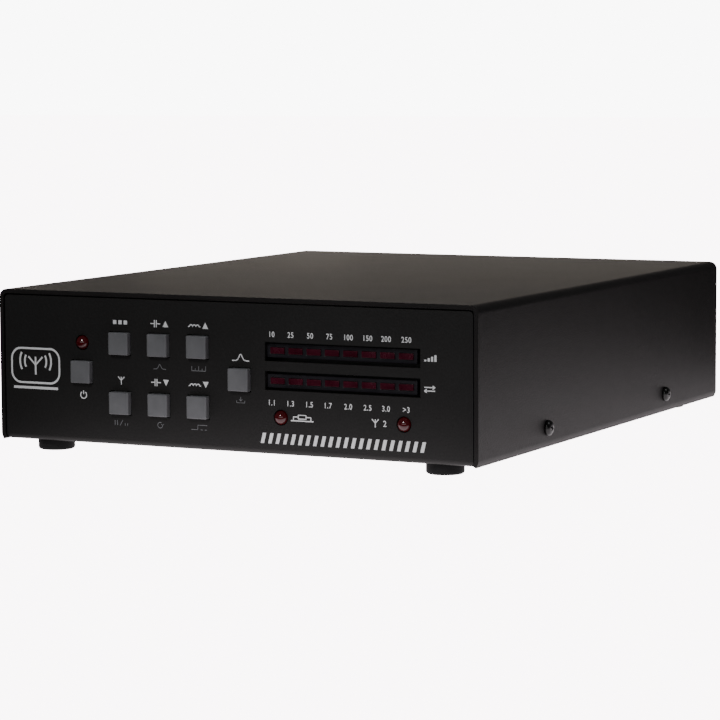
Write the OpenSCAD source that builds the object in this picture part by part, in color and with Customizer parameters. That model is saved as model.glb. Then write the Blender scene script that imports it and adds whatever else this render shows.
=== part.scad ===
/* [Case] */
// Outer width of the cover
case_w = 190; // [180:1:260]
// Depth of the cover, front edge to rear edge
case_d = 233; // [215:1:300]
// Height from the underside of the chassis to the top of the cover
case_h = 54.4; // [53.4:0.2:80]
// Thickness of the cover sheet
cover_t = 1.6; // [1:0.1:2]
// Inner radius of the cover's two long bends
cover_bend_r = 1.4; // [0.6:0.1:4]
// How far the cover's lower edges curl in under the chassis bends
cover_curl_in = 0.9; // [0.2:0.1:1.2]
// Height over which that curl happens
cover_curl_h = 1.8; // [1:0.1:3]
// How far the cover's lower edges hang below the chassis
cover_overhang = 0.3; // [0.1:0.1:1]
// Thickness of the chassis sheet
chassis_t = 1.6; // [1:0.1:2]
// Inner radius of the chassis bends
chassis_bend_r = 0.4; // [0.2:0.1:1.5]
// How far the end panels sit back from the cover's edges
panel_recess = 0.4; // [0:0.1:3]
// Gap between an end panel and the cover around it
panel_gap = 0.5; // [0.2:0.1:1.5]
// Radius of the end panels' corners
panel_corner_r = 1.5; // [0.5:0.1:4]
// Height of the chassis's side flanges
flange_h = 13; // [10:0.5:20]
// Gap between a side flange and the cover
flange_gap = 0.15; // [0.1:0.05:0.4]
// Distance from an end panel to the start of a side flange
flange_inset = 8; // [4:1:20]

/* [Feet] */
// Diameter of a rubber foot
foot_d = 12.7; // [8:0.1:20]
// Height of a rubber foot
foot_h = 4.1; // [2:0.1:10]
// Rounding of a foot's lower edge
foot_round_r = 1; // [0.2:0.1:1.8]
// How far a foot's upper rim stands out from its side
foot_rim = 0.3; // [0.1:0.1:1]
// Height of that rim
foot_rim_h = 0.8; // [0.3:0.1:1]
// Distance of each foot from the middle of the case
foot_x = 78; // [50:1:82]
// Distance of each foot from the end of the case beside it
foot_inset = 10.3; // [9:0.1:40]

/* [Small screws] */
// Thread diameter of the small screws
screw_d = 2.84; // [2.5:0.01:3.5]
// Diameter of their pan heads
screw_head_d = 5.56; // [5:0.01:7]
// Height of their pan heads
screw_head_h = 2.03; // [1.6:0.01:3]
// Radial clearance of a threaded hole round its screw
thread_gap = 0.03; // [0.02:0.01:0.1]
// Radial clearance of a plain hole round its screw
screw_gap = 0.2; // [0.1:0.05:0.4]
// Length of a cover screw under its head
cover_screw_l = 6; // [5:0.5:8]
// Distance of each pair of cover screws from the middle of the case
cover_screw_y = 57.9; // [30:0.1:90]
// Height of the cover screws above the underside of the chassis
cover_screw_z = 6.8; // [6:0.1:8]

/* [Buttons] */
// Width and height of a button cap
cap_w = 8; // [6:0.1:10]
// Length of a button cap, front to back
cap_l = 6; // [5:0.1:6.4]
// How far a cap stands out of the front panel
cap_proud = 2; // [1:0.1:2.4]
// Gap between a cap and its opening
cap_gap = 0.35; // [0.3:0.05:0.8]
// How far a button travels
cap_travel = 0.5; // [0.2:0.05:0.6]
// Width of the square stem that carries a cap
stem_w = 3.8; // [3:0.1:4]
// Gap between the stem and its socket in the cap
stem_gap = 0.05; // [0.02:0.01:0.1]
// Distance between the four columns of buttons at the left
button_pitch = 15.9; // [14:0.1:17]
// Distance of the first column from the middle of the panel
first_column_x = -60.3; // [-62:0.1:-58]
// Distance of the last button from the middle of the panel
last_button_x = 4; // [3:0.1:5]
// Height of the upper row of buttons above the underside of the chassis
upper_row_z = 36.3; // [35.5:0.1:37]
// Height of the lower row
lower_row_z = 15.1; // [14:0.1:16]
// Height of the two buttons between those rows
middle_row_z = 25.6; // [25:0.1:26.5]

/* [Indicators] */
// Diameter of a round indicator
led_d = 5; // [4:0.1:5.4]
// Length of a round indicator without its leads
led_l = 8.7; // [8:0.1:9.4]
// How far a round indicator stands out of the front panel
led_proud = 1.8; // [1:0.1:3]
// Gap between a round indicator and its opening
led_gap = 0.3; // [0.1:0.05:0.6]
// Height of the power indicator above the underside of the chassis
power_led_z = 36.1; // [35.5:0.1:37]
// Height of the two lower indicators
lower_led_z = 13.1; // [12:0.1:15]
// Distance of the bypass indicator from the middle of the panel
bypass_led_x = 20; // [19:0.1:40]
// Distance of the antenna indicator from the middle of the panel
antenna_led_x = 67.2; // [45:0.1:68]

/* [Bar displays] */
// Width of a bar display's window
window_w = 59.5; // [59:0.1:61]
// Height of a bar display's window
window_h = 6.6; // [5.6:0.1:8]
// Distance of the windows' centre from the middle of the panel
window_x = 43.65; // [42:0.1:44]
// Height of the upper window's centre above the underside of the chassis
upper_window_z = 35.8; // [35:0.1:37]
// Height of the lower window's centre
lower_window_z = 25.75; // [25:0.1:26.5]
// Width of a bar display's housing
bar_w = 57.6; // [56:0.1:58]
// Height of the housing
bar_h = 4.9; // [4:0.1:5.2]
// Height of the upper housing's centre above the underside of the chassis
upper_bar_z = 36.1; // [35.6:0.1:36.4]
// Height of the lower housing's centre
lower_bar_z = 25.6; // [25.3:0.1:26]
// Distance of the housings' centre from the middle of the panel
bar_x = 42.7; // [42:0.1:43.5]
// How far the segments stand out of their housing
segment_proud = 0.3; // [0:0.1:0.6]
// Width of one segment
segment_w = 5.5; // [4:0.1:6]
// Height of one segment
segment_h = 2.2; // [1.5:0.1:3]
// Distance between segments
segment_pitch = 7.05; // [6.5:0.05:7.1]

/* [Circuit boards] */
// Thickness of a circuit board
board_t = 1.6; // [1:0.1:2]
// Length of the standoffs that carry the boards
standoff_h = 6.8; // [6.5:0.1:8]
// Diameter of a standoff
standoff_d = 6; // [5:0.1:7]
// Length of a board screw under its head
board_screw_l = 6; // [4:0.5:7]
// Left edge of the display board, from the middle of the panel
display_left_x = -77; // [-80:0.5:-76]
// Right edge of the display board
display_right_x = 82; // [80:0.5:84]
// Lower edge of the display board above the underside of the chassis
display_low_z = 5; // [4:0.1:6]
// Distance from the top of the cover to the display board's upper edge
display_top_gap = 7.4; // [5:0.1:8]
// Distance from a board's edge to its screws
board_screw_inset = 4; // [3.5:0.1:5]
// Distance from the front panel's face to the main board
main_board_front = 22; // [21:0.5:26]
// Distance from the main board to the rear panel's face
main_board_rear = 3.6; // [3:0.1:6]
// Gap between the main board and a side flange
main_board_gap = 3; // [2:0.1:6]
// Distance from the main board's rear edge to its rear screws
rear_screw_inset = 22; // [20:1:30]

/* [Rear sockets] */
// Diameter of the thread on a coaxial socket
socket_d = 15.875; // [15:0.005:16.5]
// Length of that thread
socket_l = 12.7; // [10:0.1:14]
// Width and height of a socket's flange
socket_flange_w = 25.4; // [24:0.1:28]
// Thickness of the flange
socket_flange_t = 1.6; // [1:0.1:3]
// Distance between the flange's screws
socket_screw_pitch = 18.2; // [18:0.1:20]
// Diameter of the socket's bore
socket_bore_d = 12; // [11:0.1:13]
// Depth of the insulator's face below the socket's rim
insulator_depth = 3; // [1:0.1:5]
// Diameter of the hole in the centre contact
contact_bore_d = 4.06; // [4:0.01:4.2]
// Depth of that hole
contact_bore_l = 10.5; // [8:0.1:12]
// Distance between the centres of the sockets
socket_pitch = 32; // [27:0.5:34]
// Distance of the last socket from the middle of the panel
antenna_2_x = 56; // [52:0.5:68]
// Height of the sockets above the underside of the chassis
socket_z = 27; // [26:0.1:32]

/* [Ground terminal] */
// Diameter of the ground stud
stud_d = 4.826; // [4:0.01:6]
// How far the stud stands out of the rear panel
stud_reach = 17.5; // [16:0.1:25]
// Radial clearance between the stud and the wing nut
stud_fit = 0.05; // [0.02:0.01:0.1]
// Width across flats of the lock nut
lock_nut_w = 9.53; // [8:0.01:12]
// Thickness of the lock nut
lock_nut_h = 3.2; // [2:0.1:5]
// Diameter of the washer
washer_d = 12.7; // [10:0.1:16]
// Thickness of the washer
washer_t = 1; // [0.6:0.1:2]
// Height of the wing nut's round body
wing_nut_h = 7; // [5:0.1:7.5]
// Distance from the wing nut's axis to the middle of each ear
wing_ear_x = 9.8; // [8:0.1:11]
// How far the tight wing nut's wings stand off level, in degrees
wing_angle = 25; // [0:5:90]
// Distance of the stud from the middle of the panel
stud_x = -36; // [-38:0.5:-35]
// Height of the stud above the underside of the chassis
stud_z = 34; // [32:0.5:38]

/* [Jacks] */
// Width of a jack's body
jack_w = 11; // [9:0.1:12]
// Height of a jack's body
jack_h = 11; // [10.5:0.1:13]
// Length of a jack's body
jack_l = 14; // [12:0.1:16]
// Distance between the jacks
jack_pitch = 14; // [13:0.1:14.5]
// Distance of the power jack from the middle of the panel
power_jack_x = -51; // [-53:0.1:-50]
// Diameter of the hole in the power jack
power_jack_bore_d = 5.7; // [5.5:0.1:6]
// Diameter of its centre pin
power_jack_pin_d = 2.5; // [2:0.1:2.6]
// Diameter of the hole in the control and meter jacks
small_jack_bore_d = 3.6; // [3.5:0.1:4]
// How far the threaded noses of those jacks stand out of the rear panel
small_jack_reach = 3.2; // [2.5:0.1:5]

/* [Circuit parts] */
// Outer diameter of the smallest inductor core
small_core_d = 18; // [14:0.5:20]
// How much larger each next core is
core_step = 2; // [0.5:0.1:2]
// Thickness of the inductor wire
wire_t = 1; // [0.5:0.1:1.2]
// Gap between the wire and its core
wire_gap = 0.2; // [0.1:0.05:0.4]
// Turns on the smallest inductor
small_core_turns = 6; // [4:1:8]
// Length of a relay
relay_l = 20; // [15:0.5:22]
// Width of a relay
relay_w = 10; // [8:0.5:11]
// Height of a relay
relay_h = 10.5; // [8:0.5:12]

/* [Hidden] */
$fn = 48;
// Reach of a cutting shape beyond what it cuts
CUT = 1;

// Each push button: name, distance from the middle of the panel, height above the underside
BUTTONS = [
    ["power", first_column_x, middle_row_z],
    ["function", first_column_x + button_pitch, upper_row_z],
    ["antenna", first_column_x + button_pitch, lower_row_z],
    ["capacitance_up", first_column_x + 2 * button_pitch, upper_row_z],
    ["capacitance_down", first_column_x + 2 * button_pitch, lower_row_z],
    ["inductance_up", first_column_x + 3 * button_pitch, upper_row_z],
    ["inductance_down", first_column_x + 3 * button_pitch, lower_row_z],
    ["tune", last_button_x, middle_row_z]
];

// Each round indicator: name and place
LEDS = [
    ["power", first_column_x, power_led_z],
    ["bypass", bypass_led_x, lower_led_z],
    ["antenna_2", antenna_led_x, lower_led_z]
];

// Each bar display: name, height of its window and height of its housing
BARS = [
    ["power", upper_window_z, upper_bar_z],
    ["match", lower_window_z, lower_bar_z]
];
SEGMENTS = 8;

// Each coaxial socket: name and distance from the middle of the panel
SOCKETS = [
    ["antenna_2", antenna_2_x],
    ["antenna_1", antenna_2_x - socket_pitch],
    ["transmitter", antenna_2_x - 2 * socket_pitch]
];

// Each foot: name, side of the case and end of the case
FEET = [
    ["front_left", -1, -1],
    ["front_right", 1, -1],
    ["rear_left", -1, 1],
    ["rear_right", 1, 1]
];

// Along Y: the case lies so that the whole tuner is centred on the origin
front_reach = max(cap_proud, led_proud) - panel_recess;
rear_reach = max(stud_reach, socket_flange_t + socket_l) - panel_recess;
case_y = (front_reach - rear_reach) / 2;
cover_front_y = case_y - case_d / 2;
cover_rear_y = case_y + case_d / 2;
panel_y = cover_front_y + panel_recess;
rear_y = cover_rear_y - panel_recess;

// The chassis
panel_w = case_w - 2 * (cover_t + panel_gap);
panel_h = case_h - cover_t - panel_gap;
flange_w = case_w - 2 * (cover_t + flange_gap);
floor_z = foot_h + chassis_t;

// Behind the front panel, as distances from its face
cap_back = cap_l - cap_proud;
display_front = chassis_t + standoff_h;
display_back = display_front + board_t;
switch_t = 3.5;
switch_front = display_front - switch_t;
switch_w = 12;
switch_lip_t = 0.4;
switch_floor_t = 0.5;
switch_pin_w = 0.7;
switch_pin_x = 5.2;
switch_pin_z = 2.5;
dome_d = 6.4;
dome_rise = 0.45;
dome_t = 0.2;
dome_gap = 0.1;
plunger_d = 6.8;
plunger_fit = 0.1;
plunger_play = 0.05;
plunger_back = display_front - switch_floor_t - dome_rise - dome_gap - cap_travel;
plunger_l = plunger_back - switch_front - switch_lip_t - plunger_play;
stem_seat_l = 2.8;
stem_front = cap_back - stem_seat_l;
pin_stub = 1.2;
pin_reach = display_back + pin_stub;
pin_gap = 0.2;
bar_gap = 0.1;
bar_front = chassis_t + bar_gap;
segment_l = 6;
segment_gap = 0.05;
lead_w = 0.5;
lead_pitch = 2.54;
lead_hole_d = 1;
led_rim = 0.4;
led_rim_h = 1;

// The small screws' heads
screw_dome_r = 3.4;
recess_w = 0.7;
recess_l = 3.1;
recess_depth = 1.2;

// The two boards
display_high_z = case_h - display_top_gap;
board_z = floor_z + standoff_h;
board_top_z = board_z + board_t;
main_board_w = flange_w - 2 * (chassis_t + main_board_gap);
main_front_y = panel_y + main_board_front;
main_rear_y = rear_y - main_board_rear;
standoff_places_x = [
    display_left_x + board_screw_inset,
    display_right_x - board_screw_inset
];
standoff_places_z = [display_low_z + board_screw_inset, display_high_z - board_screw_inset];
main_screw_x = main_board_w / 2 - board_screw_inset;
main_screw_places_y = [
    main_front_y + board_screw_inset,
    (main_front_y + main_rear_y) / 2,
    main_rear_y - rear_screw_inset
];

// The ribbon cable between them
ribbon_x = first_column_x + 2 * button_pitch;
ribbon_w = 20.3;
ribbon_t = 0.9;
connector_w = 22;
connector_t = 6;
connector_l = 8;
ribbon_r = foot_h + middle_row_z - board_top_z - connector_l;
ribbon_y = panel_y + display_back + connector_l;

// The rear sockets
insulator_reach = socket_flange_t + socket_l - insulator_depth;
insulator_gap = 0.05;
insulator_d = socket_bore_d - 2 * insulator_gap;
insulator_tail = 7;
contact_d = 5.4;
contact_tail = 13;
contact_gap = 0.05;
panel_hole_gap = 0.5;
panel_hole_d = socket_bore_d + 2 * panel_hole_gap;
flange_corner_r = 1.5;
notch_w = 1.6;
notch_l = 1.2;
nut_w = 6.35;
nut_h = 2.4;
socket_screw_end = 1.4;
socket_screw_l = socket_flange_t + chassis_t + nut_h + socket_screw_end;
washer_gap = 0.3;
stud_head_d = 9.5;
stud_head_h = 3.2;
wing_y = rear_y + lock_nut_h + washer_t;
wing_t = 2.4;
ear_r = 2.6;
ear_y = 7.4;

wing_low = 1;
wing_nut_wall = 2.6;
wing_nut_taper = 0.8;

// The jacks
jack_z = board_top_z + jack_h / 2;
jack_front_gap = 0.2;
power_nose_d = 9;
power_nose_reach = 1;
power_jack_bore_l = 9.5;
power_pin_l = 8;
small_nose_d = 6;
small_jack_bore_l = 14;
nose_gap = 0.2;
jack_nut_w = 8;
jack_nut_h = 1.8;
jack_nut_gap = 0.05;

// Parts on the main board
INDUCTORS = 8;
ROWS = 4;
parts_front_inset = 12;
parts_rear_inset = 28;
parts_front_y = main_front_y + parts_front_inset;
parts_rear_y = rear_y - parts_rear_inset;
parts_l = parts_rear_y - parts_front_y;
inductor_columns_x = [-66, -38];
winding_start = 45;
core_bore_share = 0.58;
core_t = 9;
capacitor_x = -10;
relay_columns_x = [18, 44];
chip_x = 70;
chip_l = 52;
chip_w = 13.7;
chip_t = 3.8;
chip_lift = 0.6;
regulator_inset = 30;
regulator_y = parts_rear_y - regulator_inset;
filter_inset = 14;
filter_pitch = 14;
filter_d = 10;
filter_h = 16;

// ---------- shapes that repeat ----------

// Rectangle with round corners, centred
module round_rect(w, h, r) {
    square([w - 2 * r, h], center = true);
    square([w, h - 2 * r], center = true);
    for (x = [-1, 1], y = [-1, 1])
        translate([x * (w / 2 - r), y * (h / 2 - r)])
            circle(r);
}

// Sheet bent up at both ends, with its underside on the X axis
module channel(w, h, t, bend_r) {
    difference() {
        channel_outside(w, h, t + bend_r);
        translate([0, t])
            channel_outside(w - 2 * t, h, bend_r);
    }
}

module channel_outside(w, h, r) {
    translate([-w / 2, r])
        square([w, h - r]);
    translate([-w / 2 + r, 0])
        square([w - 2 * r, h]);
    for (x = [-1, 1])
        translate([x * (w / 2 - r), r])
            circle(r);
}

// Flat shape at x and z, made thick from y1 to y2
module prism_y(x, z, y1, y2) {
    translate([x, y2, z])
        rotate([90, 0, 0])
            linear_extrude(y2 - y1)
                children();
}

// Flat shape at y and z, made thick from x1 to x2
module prism_x(y, z, x1, x2) {
    translate([x1, y, z])
        rotate([90, 0, 90])
            linear_extrude(x2 - x1)
                children();
}

// The same, as depths behind the front panel's face and heights above the underside
module behind_panel(x, z, near, far) {
    prism_y(x, foot_h + z, panel_y + near, panel_y + far)
        children();
}

// Pan head screw with a cross recess, its seat at the origin and its shank along -Z
module pan_screw(length) {
    difference() {
        union() {
            intersection() {
                cylinder(d = screw_head_d, h = screw_head_h);
                translate([0, 0, screw_head_h - screw_dome_r])
                    sphere(screw_dome_r);
            }
            translate([0, 0, -length])
                cylinder(d = screw_d, h = length + CUT);
        }
        for (turn = [0, 90])
            rotate([0, 0, turn])
                translate([0, 0, screw_head_h])
                    cube([recess_l, recess_w, 2 * recess_depth], center = true);
    }
}

// Hexagon with a round hole
module hex_ring(across, hole_d) {
    difference() {
        circle(d = across / cos(30), $fn = 6);
        circle(d = hole_d);
    }
}

// ---------- case ----------

module chassis() {
    color([0.13, 0.13, 0.14])
        difference() {
            union() {
                intersection() {
                    prism_x(case_y, foot_h, -panel_w / 2, panel_w / 2)
                        channel(rear_y - panel_y, panel_h, chassis_t, chassis_bend_r);
                    prism_y(0, foot_h + panel_h / 2, panel_y - CUT, rear_y + CUT)
                        round_rect(panel_w, panel_h, panel_corner_r);
                }
                prism_y(0, foot_h, panel_y + flange_inset, rear_y - flange_inset)
                    channel(flange_w, flange_h, chassis_t, chassis_bend_r);
            }
            front_openings();
            rear_openings();
            for (y = [-1, 1])
                cover_screw_hole(y, screw_d + 2 * thread_gap);
        }
}

module front_openings() {
    for (b = BUTTONS)
        behind_panel(b[1], b[2], -CUT, chassis_t + CUT)
            square(cap_w + 2 * cap_gap, center = true);
    for (l = LEDS)
        behind_panel(l[1], l[2], -CUT, chassis_t + CUT)
            circle(d = led_d + 2 * led_gap);
    for (b = BARS)
        behind_panel(window_x, b[1], -CUT, chassis_t + CUT)
            square([window_w, window_h], center = true);
}

module rear_opening(x, z, d) {
    prism_y(x, z, rear_y - chassis_t - CUT, rear_y + CUT)
        circle(d = d);
}

module rear_openings() {
    for (s = SOCKETS) {
        rear_opening(s[1], foot_h + socket_z, panel_hole_d);
        for (x = [-1, 1], z = [-1, 1])
            rear_opening(
                s[1] + x * socket_screw_pitch / 2,
                foot_h + socket_z + z * socket_screw_pitch / 2,
                screw_d + 2 * screw_gap
            );
    }
    rear_opening(stud_x, foot_h + stud_z, stud_d + 2 * stud_fit);
    rear_opening(power_jack_x, jack_z, power_nose_d + 2 * nose_gap);
    for (i = [1, 2])
        rear_opening(power_jack_x - i * jack_pitch, jack_z, small_nose_d + 2 * nose_gap);
}

// Hole straight through both sides of the case, for a pair of cover screws
module cover_screw_hole(y, d) {
    prism_x(case_y + y * cover_screw_y, foot_h + cover_screw_z, -case_w, case_w)
        circle(d = d);
}

module cover() {
    color([0.1, 0.1, 0.11])
        difference() {
            prism_y(0, foot_h, cover_front_y, cover_rear_y)
                difference() {
                    cover_section(case_w, case_h, cover_bend_r + cover_t, 0);
                    cover_section(case_w - 2 * cover_t, case_h - cover_t, cover_bend_r, CUT);
                }
            for (y = [-1, 1])
                cover_screw_hole(y, screw_d + 2 * screw_gap);
        }
}

// Block with two round upper corners and sides that lean in at the bottom, where it reaches lower
module cover_section(w, h, r, reach) {
    lean_z = cover_curl_h - cover_overhang;
    low_x = w / 2 - cover_curl_in * (1 + reach / cover_curl_h);
    polygon([
        [-low_x, -cover_overhang - reach],
        [low_x, -cover_overhang - reach],
        [w / 2, lean_z],
        [w / 2, h - r],
        [-w / 2, h - r],
        [-w / 2, lean_z]
    ]);
    translate([-w / 2 + r, lean_z])
        square([w - 2 * r, h - lean_z]);
    for (x = [-1, 1])
        translate([x * (w / 2 - r), h - r])
            circle(r);
}

module cover_screws() {
    color([0.05, 0.05, 0.05])
        for (side = [0, 1], y = [-1, 1])
            mirror([side, 0, 0])
                translate([case_w / 2, case_y + y * cover_screw_y, foot_h + cover_screw_z])
                    rotate([0, 90, 0])
                        pan_screw(cover_screw_l);
}

module foot(side, end) {
    r = foot_d / 2;
    color([0.08, 0.08, 0.08])
        translate([side * foot_x, case_y + end * (case_d / 2 - foot_inset), 0])
            rotate_extrude() {
                square([r - foot_round_r, foot_h]);
                translate([0, foot_round_r])
                    square([r, foot_h - foot_round_r]);
                translate([0, foot_h - foot_rim_h])
                    square([r + foot_rim, foot_rim_h]);
                translate([r - foot_round_r, foot_round_r])
                    circle(foot_round_r);
            }
}

// ---------- push buttons ----------

module button(x, z) {
    color([0.42, 0.42, 0.43])
        difference() {
            behind_panel(x, z, -cap_proud, cap_back)
                square(cap_w, center = true);
            behind_panel(x, z, stem_front, cap_back + CUT)
                square(stem_w + 2 * stem_gap, center = true);
        }
}

module plunger(x, z) {
    color([0.85, 0.83, 0.78]) {
        behind_panel(x, z, stem_front, plunger_back)
            square(stem_w, center = true);
        behind_panel(x, z, plunger_back - plunger_l, plunger_back)
            circle(d = plunger_d);
    }
}

module switch_housings() {
    color([0.1, 0.1, 0.1])
        for (b = BUTTONS) {
            difference() {
                behind_panel(b[1], b[2], switch_front, display_front)
                    square(switch_w, center = true);
                behind_panel(b[1], b[2], switch_front - CUT, switch_front + CUT)
                    circle(d = plunger_d - 2 * switch_lip_t);
                behind_panel(
                    b[1], b[2],
                    switch_front + switch_lip_t,
                    display_front - switch_floor_t
                )
                    circle(d = plunger_d + 2 * plunger_fit);
            }
            for (x = [-1, 1], z = [-1, 1])
                behind_panel(
                    b[1] + x * switch_pin_x,
                    b[2] + z * switch_pin_z,
                    display_front - switch_floor_t,
                    pin_reach
                )
                    square(switch_pin_w, center = true);
        }
}

module switch_domes() {
    r = dome_d / 2;
    color("silver")
        for (b = BUTTONS)
            translate([b[1], panel_y + display_front - switch_floor_t, foot_h + b[2]])
                rotate([90, 0, 0])
                    rotate_extrude()
                        polygon([
                            [0, dome_rise],
                            [r / 3, dome_rise],
                            [r, dome_t],
                            [r, 0],
                            [r - dome_t, 0],
                            [r / 3, dome_rise - dome_t],
                            [0, dome_rise - dome_t]
                        ]);
}

// ---------- indicators and bar displays ----------

// Pair of leads from a depth behind the panel through the display board
module leads(x, z, near) {
    for (side = [-1, 1])
        behind_panel(x + side * lead_pitch / 2, z, near, pin_reach)
            square(lead_w, center = true);
}

module led(x, z) {
    r = led_d / 2;
    base = led_l - led_proud;
    color([0.35, 0.02, 0.03]) {
        translate([x, panel_y - led_proud + r, foot_h + z])
            sphere(r);
        behind_panel(x, z, r - led_proud, base)
            circle(r);
        behind_panel(x, z, base - led_rim_h, base)
            circle(r + led_rim);
        leads(x, z, base - led_rim_h);
    }
}

function segment_x(i) = bar_x + (i - (SEGMENTS - 1) / 2) * segment_pitch;

module bar_housing(z) {
    color([0.06, 0.06, 0.07])
        difference() {
            behind_panel(bar_x, z, bar_front, display_front)
                square([bar_w, bar_h], center = true);
            for (i = [0 : SEGMENTS - 1])
                behind_panel(segment_x(i), z, bar_front - CUT, display_front + CUT)
                    square([segment_w + 2 * segment_gap, segment_h + 2 * segment_gap], center = true);
        }
}

module bar_segments(z) {
    front = bar_front - segment_proud;
    color([0.4, 0.03, 0.08])
        for (i = [0 : SEGMENTS - 1]) {
            behind_panel(segment_x(i), z, front, front + segment_l)
                square([segment_w, segment_h], center = true);
            leads(segment_x(i), z, front + segment_l - CUT);
        }
}

// ---------- circuit boards ----------

module lead_holes(x, z) {
    for (side = [-1, 1])
        behind_panel(x + side * lead_pitch / 2, z, display_front - CUT, display_back + CUT)
            circle(d = lead_hole_d);
}

module display_board() {
    w = display_right_x - display_left_x;
    h = display_high_z - display_low_z;
    color([0.05, 0.3, 0.15])
        difference() {
            behind_panel(display_left_x, display_low_z, display_front, display_back)
                square([w, h]);
            for (x = standoff_places_x, z = standoff_places_z)
                behind_panel(x, z, display_front - CUT, display_back + CUT)
                    circle(d = screw_d + 2 * screw_gap);
            for (b = BUTTONS, x = [-1, 1], z = [-1, 1])
                behind_panel(
                    b[1] + x * switch_pin_x,
                    b[2] + z * switch_pin_z,
                    display_front - CUT,
                    display_back + CUT
                )
                    circle(d = switch_pin_w * sqrt(2) + 2 * pin_gap);
            for (l = LEDS)
                lead_holes(l[1], l[2]);
            for (b = BARS, i = [0 : SEGMENTS - 1])
                lead_holes(segment_x(i), b[2]);
        }
}

module main_board() {
    color([0.05, 0.3, 0.15])
        difference() {
            translate([-main_board_w / 2, main_front_y, board_z])
                cube([main_board_w, main_rear_y - main_front_y, board_t]);
            for (x = [-1, 1], y = main_screw_places_y)
                translate([x * main_screw_x, y, board_z - CUT])
                    cylinder(d = screw_d + 2 * screw_gap, h = board_t + 2 * CUT);
        }
}

module standoff_section() {
    difference() {
        circle(d = standoff_d);
        circle(d = screw_d + 2 * thread_gap);
    }
}

module board_standoffs() {
    color("silver") {
        for (x = standoff_places_x, z = standoff_places_z)
            behind_panel(x, z, chassis_t, display_front)
                standoff_section();
        for (x = [-1, 1], y = main_screw_places_y)
            translate([x * main_screw_x, y, floor_z])
                linear_extrude(standoff_h)
                    standoff_section();
    }
}

module board_screws() {
    color("silver") {
        for (x = standoff_places_x, z = standoff_places_z)
            translate([x, panel_y + display_back, foot_h + z])
                rotate([-90, 0, 0])
                    pan_screw(board_screw_l);
        for (x = [-1, 1], y = main_screw_places_y)
            translate([x * main_screw_x, y, board_top_z])
                pan_screw(board_screw_l);
    }
}

// Flat cable that leaves the display board level and turns down to the main board
module ribbon_cable() {
    color([0.6, 0.6, 0.62])
        prism_x(ribbon_y, foot_h + middle_row_z, ribbon_x - ribbon_w / 2, ribbon_x + ribbon_w / 2)
            translate([0, -ribbon_r])
                intersection() {
                    difference() {
                        circle(ribbon_r + ribbon_t / 2);
                        circle(ribbon_r - ribbon_t / 2);
                    }
                    square(2 * ribbon_r);
                }
}

module ribbon_connectors() {
    color([0.08, 0.08, 0.08]) {
        behind_panel(ribbon_x, middle_row_z, display_back, display_back + connector_l)
            square([connector_w, connector_t], center = true);
        translate([
            ribbon_x - connector_w / 2,
            ribbon_y + ribbon_r - connector_t / 2,
            board_top_z
        ])
            cube([connector_w, connector_t, connector_l]);
    }
}

// ---------- coaxial sockets ----------

module socket(x) {
    z = foot_h + socket_z;
    reach = rear_y + socket_flange_t + socket_l;
    color([0.78, 0.78, 0.76])
        difference() {
            union() {
                prism_y(x, z, rear_y, rear_y + socket_flange_t)
                    round_rect(socket_flange_w, socket_flange_w, flange_corner_r);
                prism_y(x, z, rear_y, reach)
                    circle(d = socket_d);
            }
            prism_y(x, z, rear_y - CUT, reach + CUT)
                circle(d = socket_bore_d);
            for (turn = [0, 90])
                translate([x, reach, z])
                    rotate([0, turn, 0])
                        cube([2 * socket_d, 2 * notch_l, notch_w], center = true);
            for (i = [-1, 1], k = [-1, 1])
                prism_y(
                    x + i * socket_screw_pitch / 2,
                    z + k * socket_screw_pitch / 2,
                    rear_y - CUT,
                    rear_y + socket_flange_t + CUT
                )
                    circle(d = screw_d + 2 * screw_gap);
        }
}

module socket_insulators() {
    color([0.9, 0.88, 0.82])
        for (s = SOCKETS)
            prism_y(s[1], foot_h + socket_z, rear_y - insulator_tail, rear_y + insulator_reach)
                difference() {
                    circle(d = insulator_d);
                    circle(d = contact_d + 2 * contact_gap);
                }
}

module socket_contacts() {
    color([0.85, 0.7, 0.35])
        for (s = SOCKETS)
            difference() {
                prism_y(s[1], foot_h + socket_z, rear_y - contact_tail, rear_y + insulator_reach)
                    circle(d = contact_d);
                prism_y(
                    s[1], foot_h + socket_z,
                    rear_y + insulator_reach - contact_bore_l,
                    rear_y + insulator_reach + CUT
                )
                    circle(d = contact_bore_d);
            }
}

// Puts its children at each flange screw, at a distance out from the rear panel
module at_socket_screws(out) {
    for (s = SOCKETS, x = [-1, 1], z = [-1, 1])
        translate([
            s[1] + x * socket_screw_pitch / 2,
            rear_y + out,
            foot_h + socket_z + z * socket_screw_pitch / 2
        ])
            rotate([-90, 0, 0])
                children();
}

module socket_screws() {
    color("silver")
        at_socket_screws(socket_flange_t)
            pan_screw(socket_screw_l);
}

module socket_nuts() {
    color("silver")
        at_socket_screws(-chassis_t - nut_h)
            linear_extrude(nut_h)
                hex_ring(nut_w, screw_d + 2 * thread_gap);
}

// ---------- ground terminal ----------

module ground_stud() {
    color("silver") {
        prism_y(stud_x, foot_h + stud_z, rear_y - chassis_t, rear_y + stud_reach)
            circle(d = stud_d);
        prism_y(stud_x, foot_h + stud_z, rear_y - chassis_t - stud_head_h, rear_y - chassis_t)
            circle(d = stud_head_d);
    }
}

module ground_lock_nut() {
    color("silver")
        prism_y(stud_x, foot_h + stud_z, rear_y, rear_y + lock_nut_h)
            hex_ring(lock_nut_w, stud_d + 2 * stud_fit);
}

module ground_washer() {
    color("silver")
        prism_y(stud_x, foot_h + stud_z, rear_y + lock_nut_h, wing_y)
            difference() {
                circle(d = washer_d);
                circle(d = stud_d + 2 * washer_gap);
            }
}

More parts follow.
